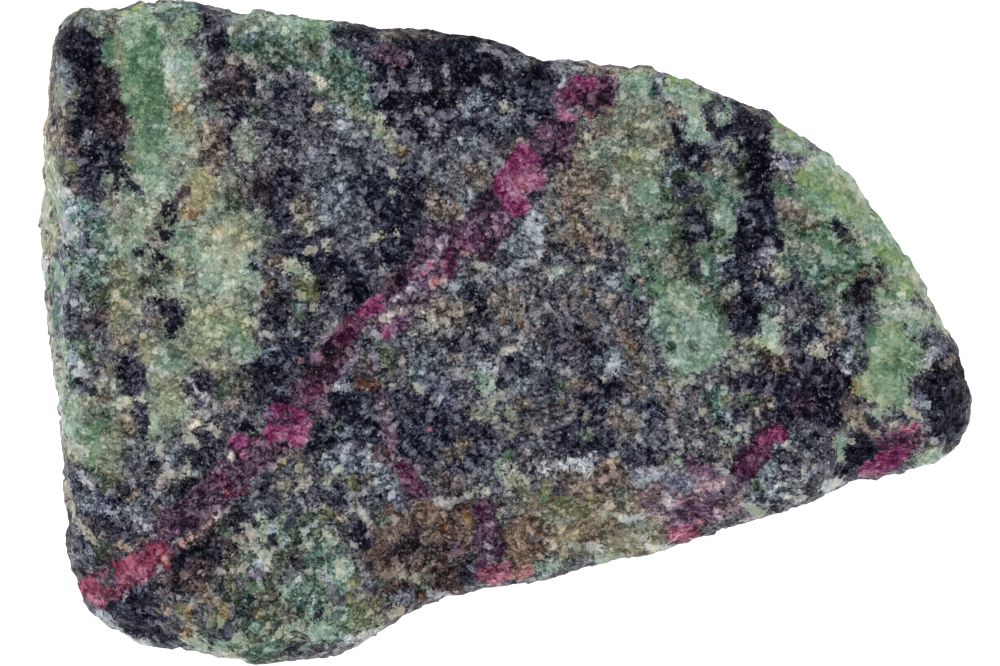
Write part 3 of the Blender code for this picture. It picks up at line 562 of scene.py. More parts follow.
        ("coal", 12, (835, 382), (830, 402)), ("umber", 5, (845, 394)),
        ("slate", 7, (845, 354), (843, 367)), ("ice", 2.5, (844, 370)),
        ("leaf", 10, (806, 178), (836, 188)), ("apple", 9, (812, 170), (842, 186)),
        ("apple", 7, (850, 198), (862, 220)), ("vivid", 4, (822, 196)),
        ("citron", 4, (834, 176), (842, 182)), ("tan", 5, (798, 212), (812, 214)),
        ("teal", 9, (786, 262), (800, 256)), ("teal", 8, (806, 274), (820, 270)),
        ("greyGreen", 8, (790, 246), (812, 250)), ("moss", 6, (830, 279), (840, 276)),
        ("teal", 6, (852, 252), (846, 262)), ("vivid", 5, (858, 246)), ("ink", 5, (794, 274)),
        ("mint", 4, (826, 256), (832, 262)), ("ice", 2.5, (812, 262)),
    ],
    "apple green lump": [
        ("apple", 20, (888, 342), (885, 388)), ("green", 13, (893, 318)), ("pale", 6, (880, 309)),
        ("mint", 10, (910, 312), (922, 320)), ("vivid", 9, (912, 350), (905, 368)),
        ("vivid", 7, (883, 368)), ("citron", 4, (897, 330)), ("slate", 6, (927, 331)),
        ("mint", 6, (937, 320)), ("pale", 4, (937, 312), (945, 330)), ("apple", 13, (863, 385)),
        ("mint", 5, (875, 379)), ("mint", 4, (865, 413), (886, 411)), ("green", 9, (903, 400)),
        ("mint", 7, (918, 365)), ("cream", 5, (916, 415), (905, 411)),
        ("gold", 3, (852, 378), (852, 398)), ("straw", 8, (848, 412), (857, 418)),
        ("blush", 4, (842, 403)), ("cream", 4, (852, 423)), ("tan", 4, (858, 428), (870, 432)),
        ("coal", 5, (866, 414), (871, 426)), ("coal", 4, (887, 417)), ("blush", 4, (880, 418)),
        ("tan", 4, (880, 430)), ("cream", 5, (893, 427)), ("pale", 8, (884, 307), (902, 316)),
        ("pale", 6, (900, 301), (914, 312)), ("apple", 9, (893, 328), (889, 342)),
        ("apple", 11, (866, 386), (882, 396)), ("citron", 4, (862, 372), (866, 382)),
        ("green", 5, (908, 322), (914, 334)), ("vivid", 6, (898, 356), (896, 370)),
    ],
    "right tip": [
        ("coal", 18, (946, 382), (944, 410)), ("coal", 10, (957, 372)),
        ("ice", 4, (931, 350), (926, 365)), ("frost", 5, (940, 345), (945, 350)),
        ("coal", 4, (938, 361)), ("taupe", 4, (942, 366), (952, 360)),
        ("frost", 5, (918, 394), (914, 405)), ("ice", 4, (925, 404)), ("ink", 7, (960, 412)),
        ("coal", 9, (938, 428)), ("ink", 7, (946, 440)), ("frost", 3, (967, 402), (971, 420)),
        ("pale", 9, (935, 455), (922, 463)), ("straw", 6, (929, 447)), ("taupe", 5, (948, 447)),
        ("white", 5, (952, 458), (935, 468), (912, 473)),
    ],
    "lower right": [
        ("ink", 14, (775, 395), (765, 385)), ("coal", 14, (861, 447), (859, 460)),
        ("ink", 8, (848, 470)), ("coal", 7, (838, 474)), ("mint", 6, (838, 440), (838, 452)),
        ("pale", 4, (841, 458)), ("moss", 5, (843, 430)), ("cream", 4, (850, 440)),
        ("slate", 9, (814, 430)), ("ink", 7, (820, 423)), ("ink", 6, (798, 440)),
        ("slate", 8, (814, 446)), ("cream", 4, (786, 444)), ("cream", 4, (795, 452)),
        ("slate", 12, (788, 466), (800, 470)), ("coal", 8, (782, 457)), ("slate", 8, (820, 462)),
        ("frost", 7, (770, 478)), ("white", 4, (770, 490), (778, 484)), ("pepper", 9, (800, 484)),
        ("coal", 6, (808, 489)), ("white", 5, (824, 488), (840, 482)), ("moss", 8, (755, 484)),
        ("coal", 4, (760, 499)), ("pale", 5, (745, 506), (760, 513)),
        ("white", 4, (790, 497), (800, 496)), ("blush", 3, (743, 520), (760, 518)),
        ("coal", 3, (773, 505)), ("slate", 8, (775, 472)), ("ink", 8, (548, 385)),
        ("moss", 5, (560, 386)), ("tan", 6, (569, 388), (575, 382)), ("tan", 6, (590, 386)),
        ("cream", 3.5, (605, 378)), ("coal", 9, (613, 391)), ("brown", 8, (630, 382), (640, 390)),
        ("gold", 4, (659, 381)), ("tan", 6, (667, 390)), ("cream", 4, (679, 385), (688, 381)),
        ("greyGreen", 7, (675, 377)), ("umber", 5, (695, 395)), ("teal", 10, (714, 394), (718, 408)),
        ("olive", 4, (722, 401)), ("slate", 8, (726, 412)), ("coal", 4, (710, 406)),
        ("ink", 10, (755, 386), (740, 380)), ("slate", 6, (605, 404)), ("brown", 5, (555, 408)),
        ("olive", 4, (560, 400)), ("umber", 8, (575, 404)), ("greyGreen", 4, (585, 418)),
        ("ice", 3, (560, 426)), ("taupe", 9, (613, 416), (630, 422)), ("brown", 8, (630, 431)),
        ("ink", 10, (650, 408)), ("pepper", 12, (670, 420), (665, 432)), ("slate", 6, (690, 412)),
        ("cream", 4, (703, 410)), ("coal", 4, (703, 421)), ("straw", 5, (709, 432)),
        ("moss", 5, (718, 428)), ("pale", 5, (726, 436)), ("cream", 4, (721, 442)),
        ("mint", 5, (735, 440)), ("cream", 4, (738, 428)), ("ink", 9, (742, 410)),
        ("coal", 6, (764, 409)), ("taupe", 6, (754, 410)), ("ink", 16, (570, 438), (600, 440)),
        ("moss", 7, (588, 435)), ("ink", 14, (640, 458)), ("ice", 5, (667, 448)),
        ("greyGreen", 6, (675, 459)), ("umber", 6, (660, 461)), ("taupe", 9, (724, 454)),
        ("ice", 5, (724, 470)), ("pepper", 11, (786, 470), (812, 462)),
        ("ink", 7, (800, 444), (812, 438)), ("coal", 8, (777, 452), (789, 458)),
        ("frost", 4, (806, 472), (822, 468)), ("ice", 2.5, (792, 478), (800, 474)),
        ("ink", 6, (824, 452), (828, 460)), ("moss", 6, (742, 402), (752, 396)),
        ("taupe", 6, (662, 398), (670, 404)),
    ],
    "break": [
        ("ice", 6, (545, 468), (565, 463), (590, 460)), ("white", 3, (580, 468), (592, 469)),
        ("gold", 4, (604, 466), (613, 459)), ("umber", 9, (611, 473), (600, 480)),
        ("brown", 9, (565, 482), (582, 490)), ("tan", 5, (574, 488), (585, 485)),
        ("tan", 4, (572, 470), (560, 475)), ("frost", 9, (635, 474), (665, 478), (682, 483)),
        ("ice", 5, (640, 480), (656, 477)), ("rust", 3, (632, 484)),
        ("umber", 4, (640, 488), (660, 484)), ("umber", 8, (655, 496)),
        ("white", 4, (663, 492), (668, 500)), ("greyGreen", 7, (620, 490)), ("olive", 8, (592, 499)),
        ("olive", 9, (580, 512), (562, 506)), ("olive", 7, (543, 503), (544, 488)),
        ("vivid", 4, (544, 498)), ("greyGreen", 7, (545, 514)), ("cream", 4, (605, 510), (603, 519)),
        ("sand", 8, (613, 506), (636, 503)), ("moss", 4, (622, 503)),
        ("white", 4, (622, 518), (640, 517)), ("greyGreen", 8, (632, 523), (652, 530)),
        ("slate", 4, (640, 526)), ("straw", 8, (562, 530), (576, 534)),
        ("sand", 8, (590, 526), (598, 534)), ("ice", 4, (565, 520)), ("taupe", 8, (622, 530)),
        ("tan", 4, (656, 516)), ("brown", 5, (722, 506), (745, 494)),
        ("blush", 4, (700, 488), (720, 482)), ("citron", 7, (519, 487), (527, 492)),
        ("mint", 6, (504, 464), (502, 476)), ("cream", 7, (512, 470), (508, 484)),
        ("straw", 7, (516, 478), (526, 493)), ("pale", 5, (526, 478)),
        ("straw", 5, (532, 504), (512, 505)), ("brown", 13, (518, 530), (515, 548)),
        ("umber", 5, (536, 528)), ("slate", 5, (535, 538)), ("taupe", 8, (550, 530)),
        ("pale", 5, (575, 546)), ("straw", 7, (560, 556)), ("white", 5, (590, 546), (601, 551)),
        ("moss", 4, (580, 552)), ("mint", 6, (556, 566), (540, 569)), ("brown", 8, (525, 556)),
        ("tan", 7, (528, 567), (515, 573)), ("straw", 6, (613, 551), (636, 548)),
        ("cream", 5, (640, 538)), ("white", 5, (650, 546), (667, 547)), ("olive", 5, (654, 540)),
        ("taupe", 7, (660, 527)), ("straw", 6, (618, 542), (632, 540)),
        ("pale", 5, (600, 561), (625, 557)), ("tan", 8, (514, 532), (518, 552)),
        ("tan", 5, (524, 512), (520, 520)), ("rust", 3, (508, 540)),
        ("cream", 3, (546, 540), (554, 546)), ("moss", 4, (604, 536)),
    ],
    "left side low": [
        ("cream", 7, (50, 342), (55, 362), (59, 386), (61, 402)), ("mint", 7, (66, 344), (68, 360)),
        ("teal", 6, (80, 344), (84, 352)), ("ice", 5, (70, 352), (78, 360)), ("teal", 6, (72, 374)),
        ("coal", 3.5, (80, 380), (84, 384)), ("mint", 6, (66, 384), (68, 394)),
        ("green", 6, (80, 357), (84, 346)), ("ice", 5, (75, 371), (86, 375)),
        ("moss", 7, (92, 345), (90, 361)), ("coal", 3, (71, 385)), ("moss", 7, (80, 380)),
        ("slate", 6, (98, 352)), ("ink", 14, (130, 363), (136, 382)), ("pepper", 8, (112, 358)),
        ("taupe", 7, (108, 372)), ("cream", 4, (98, 385)), ("cream", 3.5, (112, 385)),
        ("coal", 5, (94, 391)), ("frost", 4, (85, 390)), ("tan", 5, (92, 403)),
        ("taupe", 7, (106, 396)), ("straw", 7, (147, 343), (150, 360)), ("pepper", 8, (134, 345)),
        ("taupe", 9, (122, 340)), ("green", 8, (165, 360), (180, 365)),
        ("ice", 4, (158, 369), (165, 373)), ("straw", 9, (163, 385), (175, 392)),
        ("citron", 8, (174, 404)), ("pale", 6, (163, 402)), ("coal", 2.5, (160, 395)),
        ("green", 6, (190, 368)), ("moss", 5, (166, 347), (180, 352)),
        ("ink", 9, (190, 388), (205, 384)), ("white", 2.5, (200, 388), (207, 398)),
        ("frost", 5, (204, 403)), ("ice", 3, (192, 380)), ("citron", 9, (215, 338), (200, 350)),
        ("coal", 5, (221, 355)), ("green", 10, (240, 340), (248, 350)),
        ("greyGreen", 8, (205, 357), (235, 364)), ("vivid", 6, (243, 338)),
        ("straw", 6, (218, 368), (220, 375)), ("slate", 6, (268, 350)), ("ink", 8, (285, 345)),
        ("moss", 9, (238, 380), (224, 392)), ("ink", 6, (247, 368)),
        ("coal", 11, (275, 375), (266, 388)), ("coal", 8, (260, 368)), ("tan", 3, (251, 385)),
        ("taupe", 6, (238, 392)), ("pepper", 10, (230, 410), (215, 416)),
        ("cream", 4, (212, 427), (218, 431)), ("taupe", 7, (233, 403)), ("coal", 6, (246, 425)),
        ("coal", 4, (230, 432)), ("mint", 10, (75, 405), (82, 425)),
        ("mint", 9, (68, 406), (72, 424), (78, 436)), ("white", 3, (62, 408), (65, 430), (70, 444)),
        ("sand", 4, (61, 434), (60, 458)), ("white", 5, (76, 448), (90, 450)), ("citron", 5, (70, 456)),
        ("vivid", 8, (94, 428), (96, 455)), ("moss", 7, (102, 414), (107, 428)),
        ("deep", 4, (104, 424)), ("greyGreen", 8, (113, 405)), ("green", 8, (100, 447)),
        ("greyGreen", 10, (118, 450), (115, 463)), ("straw", 5, (108, 468)), ("straw", 4, (119, 432)),
        ("taupe", 9, (127, 412), (129, 430)), ("ink", 9, (141, 410), (145, 430)),
        ("pepper", 7, (134, 446)), ("mint", 4, (157, 415), (159, 436)), ("green", 6, (170, 412)),
        ("moss", 7, (172, 432)), ("mint", 6, (180, 410)), ("cream", 7, (189, 428), (198, 420)),
        ("cream", 5, (190, 440), (196, 442)), ("cream", 5, (162, 445), (162, 454)),
        ("coal", 5, (184, 447), (197, 452)), ("slate", 7, (175, 453)),
        ("cream", 4, (164, 475), (180, 473)), ("cream", 6, (189, 464), (194, 475)),
        ("coal", 6, (155, 462)), ("frost", 4, (178, 463)), ("coal", 7, (186, 485), (197, 482)),
        ("blush", 5, (160, 485)), ("ink", 6, (145, 488)), ("umber", 5, (150, 470)),
        ("ink", 10, (208, 440), (205, 462)), ("dusk", 5, (195, 457)), ("ink", 7, (76, 472), (78, 484)),
        ("teal", 6, (97, 476)), ("ice", 3.5, (82, 474), (94, 489)), ("moss", 8, (110, 483)),
        ("slate", 8, (86, 498), (92, 504)), ("olive", 6, (118, 477)), ("umber", 7, (125, 490)),
        ("tan", 5, (138, 490), (133, 498)), ("tan", 3, (62, 468), (65, 494)),
        ("cream", 3, (67, 484), (70, 500), (76, 516), (84, 529), (97, 540)),
        ("gold", 4, (277, 466), (284, 462)), ("ink", 8, (265, 487)), ("slate", 5, (262, 480)),
        ("straw", 7, (287, 484)), ("umber", 5, (283, 496)), ("umber", 7, (272, 455)),
        ("pale", 6, (64, 366), (66, 390)), ("white", 3, (66, 372)), ("cream", 5, (66, 440), (78, 452)),
        ("straw", 7, (160, 374), (172, 384)), ("pale", 6, (166, 396), (172, 410)),
        ("moss", 4, (88, 412), (92, 420)),
    ],
    "lower middle": [
        ("frost", 9, (352, 360), (345, 372)), ("ice", 3.5, (335, 387), (349, 386)),
        ("tan", 3, (328, 395), (322, 410), (315, 424), (306, 436)),
        ("ember", 7, (361, 383), (373, 384)), ("brown", 6, (358, 370), (370, 368)),
        ("ink", 20, (345, 412)), ("coal", 7, (334, 400), (350, 402)), ("moss", 6, (335, 425)),
        ("slate", 8, (340, 436), (358, 434)), ("ink", 7, (335, 443), (362, 442)),
        ("frost", 11, (340, 456), (352, 452)), ("ice", 6, (367, 454), (371, 462)),
        ("slate", 9, (330, 462)), ("slate", 7, (336, 468), (350, 470)), ("pale", 3, (342, 468)),
        ("moss", 7, (388, 352), (393, 366)), ("frost", 3, (375, 355), (378, 370)),
        ("slate", 8, (415, 342), (422, 360)), ("coal", 5, (437, 355)),
        ("frost", 8, (438, 383), (450, 402)), ("taupe", 6, (455, 356)), ("coal", 6, (458, 346)),
        ("frost", 4, (466, 342)), ("slate", 12, (420, 380)), ("cream", 4, (420, 388)),
        ("moss", 6, (468, 372)), ("mint", 8, (482, 374), (487, 386)),
        ("ice", 4, (480, 364), (494, 369)), ("cream", 5, (499, 393), (492, 404)),
        ("ice", 3, (505, 399)), ("greyGreen", 8, (478, 412), (492, 412)),
        ("greyGreen", 4, (506, 406), (514, 420)), ("slate", 10, (518, 386)),
        ("ink", 9, (514, 360), (526, 370)), ("cream", 4, (505, 350), (518, 347)),
        ("ink", 7, (487, 350)), ("taupe", 8, (522, 405)), ("coal", 4, (502, 418)),
        ("greyGreen", 5, (510, 433)), ("brown", 7, (530, 428)), ("coal", 6, (407, 412)),
        ("tan", 4, (457, 433)), ("taupe", 8, (465, 444), (452, 454)),
        ("umber", 9, (434, 468), (455, 484)), ("brown", 4, (448, 458)), ("frost", 8, (490, 448)),
        ("ink", 8, (474, 456)), ("deep", 6, (508, 455)), ("ice", 5, (531, 462)),
        ("ink", 10, (520, 442)), ("slate", 7, (484, 484)), ("frost", 5, (494, 491)),
        ("slate", 9, (396, 490), (381, 480)), ("coal", 6, (383, 497)), ("olive", 6, (303, 465)),
        ("coal", 4, (313, 445)), ("umber", 6, (299, 455)), ("pepper", 8, (315, 470)),
        ("cream", 5, (298, 488), (307, 484)), ("ink", 6, (315, 490)), ("ink", 8, (340, 490)),
        ("olive", 8, (356, 482)), ("greyGreen", 7, (330, 477)), ("taupe", 8, (370, 478)),
    ],
    "lower left": [
        ("ink", 8, (78, 546), (84, 562)), ("slate", 7, (84, 556), (92, 566)),
        ("taupe", 5, (84, 518), (90, 522)), ("dusk", 4, (68, 516), (70, 538)),
        ("frost", 7, (108, 508), (120, 516)), ("ice", 3.5, (110, 512), (118, 510)),
        ("taupe", 4, (104, 532), (110, 536)), ("slate", 12, (135, 510)),
        ("moss", 8, (100, 545), (107, 552)), ("umber", 6, (110, 556)), ("pepper", 8, (90, 562)),
        ("coal", 5, (80, 570)), ("ice", 3, (92, 572)), ("ink", 8, (125, 530)), ("coal", 4, (103, 528)),
        ("frost", 6, (150, 514), (145, 527)), ("taupe", 5, (155, 508)),
        ("tan", 6, (120, 545), (134, 547), (148, 541)), ("cream", 4, (122, 544), (134, 548)),
        ("tan", 4, (206, 512), (212, 520), (200, 535), (188, 543)), ("ink", 10, (120, 606), (130, 616)),
        ("coal", 8, (140, 604)), ("ink", 13, (160, 602), (150, 622)),
        ("umber", 9, (167, 585), (156, 590)), ("taupe", 8, (165, 606)), ("olive", 5, (180, 606)),
        ("tan", 4, (168, 609)), ("tan", 4, (167, 627)), ("deep", 3, (180, 615)),
        ("gold", 5, (190, 610), (187, 633)), ("straw", 5, (187, 620)),
        ("pale", 8, (190, 640), (202, 646)), ("coal", 10, (185, 560), (208, 553)),
        ("coal", 8, (178, 583)), ("umber", 6, (196, 585)), ("ice", 3, (202, 572)),
        ("ink", 8, (155, 632), (167, 640)), ("white", 5, (128, 640), (146, 647)),
        ("ice", 4, (98, 612), (120, 634)), ("pepper", 7, (180, 646)), ("coal", 6, (157, 637)),
        ("coal", 9, (240, 519), (243, 531)), ("moss", 8, (225, 530)),
        ("ink", 8, (214, 545), (226, 560)), ("pepper", 12, (225, 573)), ("pepper", 12, (215, 597)),
        ("frost", 5, (212, 605)), ("ink", 6, (206, 615)), ("pepper", 11, (260, 572), (252, 590)),
        ("frost", 5, (260, 573)), ("cream", 6, (246, 545), (240, 538)),
        ("cream", 6, (256, 543), (266, 560)), ("pale", 6, (268, 537), (262, 529)),
        ("slate", 9, (275, 524)), ("mint", 7, (285, 530)), ("pepper", 9, (262, 508)),
        ("ink", 5, (276, 505)), ("olive", 6, (243, 563)), ("pepper", 8, (240, 590)),
        ("deep", 6, (251, 585)), ("moss", 8, (244, 602)), ("umber", 6, (262, 605)),
        ("gold", 5, (258, 612)), ("rust", 4, (268, 618)), ("olive", 5, (276, 609)),
        ("mint", 9, (284, 590)), ("frost", 6, (284, 611)), ("teal", 9, (240, 640), (255, 650)),
        ("pale", 5, (236, 634), (246, 642)), ("greyGreen", 9, (225, 650)), ("teal", 7, (255, 627)),
        ("pale", 7, (281, 630)), ("teal", 8, (270, 645)), ("ink", 7, (217, 637)),
        ("frost", 4, (218, 639)), ("moss", 5, (256, 641)), ("greyGreen", 8, (287, 650)),
        ("white", 4, (242, 661), (215, 654)), ("pale", 5, (232, 656)), ("moss", 6, (209, 628)),
        ("umber", 9, (186, 576), (200, 590)), ("dusk", 8, (196, 558), (206, 572)),
        ("sand", 6, (206, 588), (214, 602)), ("taupe", 6, (226, 556), (234, 568)),
        ("pepper", 8, (190, 606), (204, 618)), ("olive", 6, (214, 620), (226, 612)),
        ("cream", 5, (246, 523), (256, 535)), ("pale", 6, (262, 516), (270, 530)),
        ("cream", 4, (272, 546), (266, 564)), ("moss", 7, (282, 560), (276, 580)),
        ("straw", 4, (232, 580), (238, 592)), ("gold", 4, (222, 604), (228, 612)),
        ("cream", 3, (200, 600), (206, 594)), ("pepper", 6, (232, 606), (238, 616)),
        ("straw", 4, (262, 594), (268, 600)),
    ],
    "slope": [
        ("pepper", 12, (298, 502), (308, 514)), ("moss", 8, (304, 518), (316, 519)),
        ("mint", 5, (306, 530)), ("cream", 4, (305, 538)), ("greyGreen", 9, (334, 545), (330, 532)),
        ("pale", 5, (340, 562), (345, 575)), ("pepper", 10, (298, 560), (290, 574)),
        ("umber", 6, (294, 560)), ("moss", 6, (318, 560)), ("ice", 5, (325, 573), (331, 582)),
        ("teal", 12, (322, 590), (330, 606)), ("teal", 7, (304, 602)), ("teal", 8, (309, 585)),
        ("mint", 9, (316, 622), (327, 630)), ("moss", 5, (307, 621)), ("taupe", 7, (288, 613)),
        ("greyGreen", 7, (296, 636)), ("citron", 10, (362, 608), (366, 622)), ("lime", 8, (352, 624)),
        ("olive", 7, (376, 600)), ("moss", 4, (343, 615)), ("coal", 3, (341, 633)),
        ("tan", 4, (347, 590), (354, 612)), ("rust", 4, (352, 598)), ("olive", 8, (355, 580)),
        ("straw", 6, (386, 610)), ("mint", 6, (378, 622)), ("pale", 5, (395, 612)),
        ("white", 4, (365, 635)), ("ink", 11, (356, 529), (366, 538)),
        ("ink", 8, (340, 500), (325, 500)), ("taupe", 6, (340, 515)), ("cream", 3, (342, 519)),
        ("olive", 6, (328, 511)), ("coal", 7, (383, 501)), ("frost", 7, (395, 496), (402, 505)),
        ("moss", 8, (381, 520)), ("cream", 3.5, (364, 514), (372, 526)), ("taupe", 6, (360, 504)),
        ("brown", 9, (410, 525), (432, 520)), ("umber", 8, (447, 513), (470, 506)),
        ("rust", 3.5, (464, 512), (471, 522)), ("brown", 8, (390, 530), (384, 540)),
        ("tan", 4, (382, 541)), ("coal", 6, (411, 546), (400, 547)), ("coal", 6, (421, 533)),
        ("umber", 12, (455, 532)), ("dusk", 9, (452, 546)), ("taupe", 8, (415, 558)),
        ("umber", 9, (385, 560), (366, 558)), ("olive", 5, (372, 552)), ("umber", 8, (380, 574)),
        ("taupe", 10, (402, 570)), ("pale", 4, (415, 578)), ("moss", 6, (424, 588)),
        ("coal", 5, (405, 588)), ("teal", 5, (380, 583)), ("slate", 6, (394, 596), (410, 600)),
        ("frost", 4, (402, 591)), ("tan", 4, (419, 600)), ("taupe", 6, (433, 562)),
        ("tan", 4, (440, 570)), ("umber", 8, (450, 573), (440, 586)),
        ("ink", 7, (466, 576), (470, 562)), ("slate", 4, (452, 560)),
        ("ice", 4, (430, 595), (452, 597)), ("blush", 3, (456, 580)),
        ("ice", 5, (440, 500), (449, 506)), ("ice", 4, (456, 500), (465, 497)),
        ("cream", 3, (470, 493), (488, 491)), ("brown", 5, (425, 508)), ("brown", 7, (495, 505)),
        ("moss", 6, (501, 521)), ("coal", 4, (497, 524)), ("mint", 7, (342, 567), (343, 576)),
        ("ice", 3, (340, 566)), ("white", 3, (327, 567)), ("mint", 7, (322, 582)),
        ("white", 3.5, (344, 615)), ("mint", 9, (316, 634), (330, 631)),
        ("ice", 6, (352, 639), (374, 633)), ("cream", 5, (384, 618), (403, 609)),
        ("citron", 8, (358, 600), (371, 611)), ("straw", 6, (372, 618), (380, 606)),
        ("lime", 6, (354, 606), (360, 624)), ("frost", 6, (402, 600), (408, 594)),
        ("coal", 5, (288, 650), (300, 646)), ("moss", 4, (312, 548)), ("moss", 4, (326, 556)),
        ("pepper", 5, (330, 588), (336, 596)), ("umber", 4, (308, 572)),
        ("pale", 4, (330, 536), (338, 544)), ("pepper", 4, (346, 552)),
        ("umber", 5, (418, 528), (426, 532)), ("tan", 4, (404, 528), (412, 522)),
        ("dusk", 6, (396, 552), (404, 558)), ("sand", 5, (392, 572), (400, 578)),
        ("dusk", 6, (428, 548), (440, 552)), ("mauve", 4, (452, 554), (462, 548)),
        ("taupe", 5, (426, 572), (432, 580)), ("ember", 3, (440, 528), (448, 524)),
        ("cream", 2.5, (268, 525), (257, 550)), ("ice", 3, (280, 518), (272, 530)),
        ("cream", 2.5, (298, 492), (286, 500)), ("white", 3, (309, 529), (302, 535)),
        ("cream", 3, (307, 539), (303, 547)), ("ice", 2.5, (262, 560), (254, 572)),
        ("white", 2, (272, 556), (266, 566)), ("ice", 2.5, (286, 540), (279, 549)),
        ("cream", 2.5, (248, 560), (241, 572)), ("mint", 4, (292, 586), (284, 598)),
        ("ice", 2.5, (300, 578), (294, 584)), ("umber", 5, (276, 592), (268, 602)),
        ("white", 2, (316, 598), (311, 606)), ("mint", 4, (300, 618), (292, 628)),
        ("cream", 2.5, (272, 624), (264, 632)), ("coal", 4, (258, 606), (250, 616)),
        ("ice", 2.5, (244, 620), (238, 630)), ("mint", 4, (228, 640), (220, 646)),
        ("coal", 4, (276, 532), (270, 544)), ("ink", 5, (292, 520), (286, 530)),
        ("coal", 4, (250, 598), (244, 606)), ("ink", 5, (232, 622), (226, 632)),
        ("ice", 2.5, (318, 520), (312, 526)), ("cream", 2.5, (322, 504), (315, 510)),
        ("mint", 4, (310, 640), (304, 648)), ("coal", 4, (322, 612), (316, 620)),
        ("ink", 4, (344, 592), (340, 602)), ("cream", 2.5, (332, 604), (328, 612)),
    ],
}

# dark side and light side of the ruby's tones
rubyTones = {
    "plum": ("#221324", "#6a5568"),
    "night": ("#150c18", "#43303f"),
    "mauve": ("#36233a", "#846880"),
    "lilac": ("#5e5468", "#b9adc0"),
    "magenta": ("#56183f", "#964c78"),
    "pink": ("#73415f", "#b87f9d"),
    "rose": ("#7a3a55", "#c2839a"),
    "wine": ("#34112a", "#6b4660"),
    "red": ("#471b2f", "#885165"),
    "crimson": ("#601f38", "#9f4e68"),
    "coral": ("#8a4a40", "#c98a74"),
    "salmon": ("#774a50", "#c08f8d"),
    "core": ("#35303c", "#726a76"),
    "purple": ("#3a1f45", "#7d5286"),
    "chalk": ("#857f80", "#d2cbc9"),
    "haze": ("#281e29", "#756774"),
}

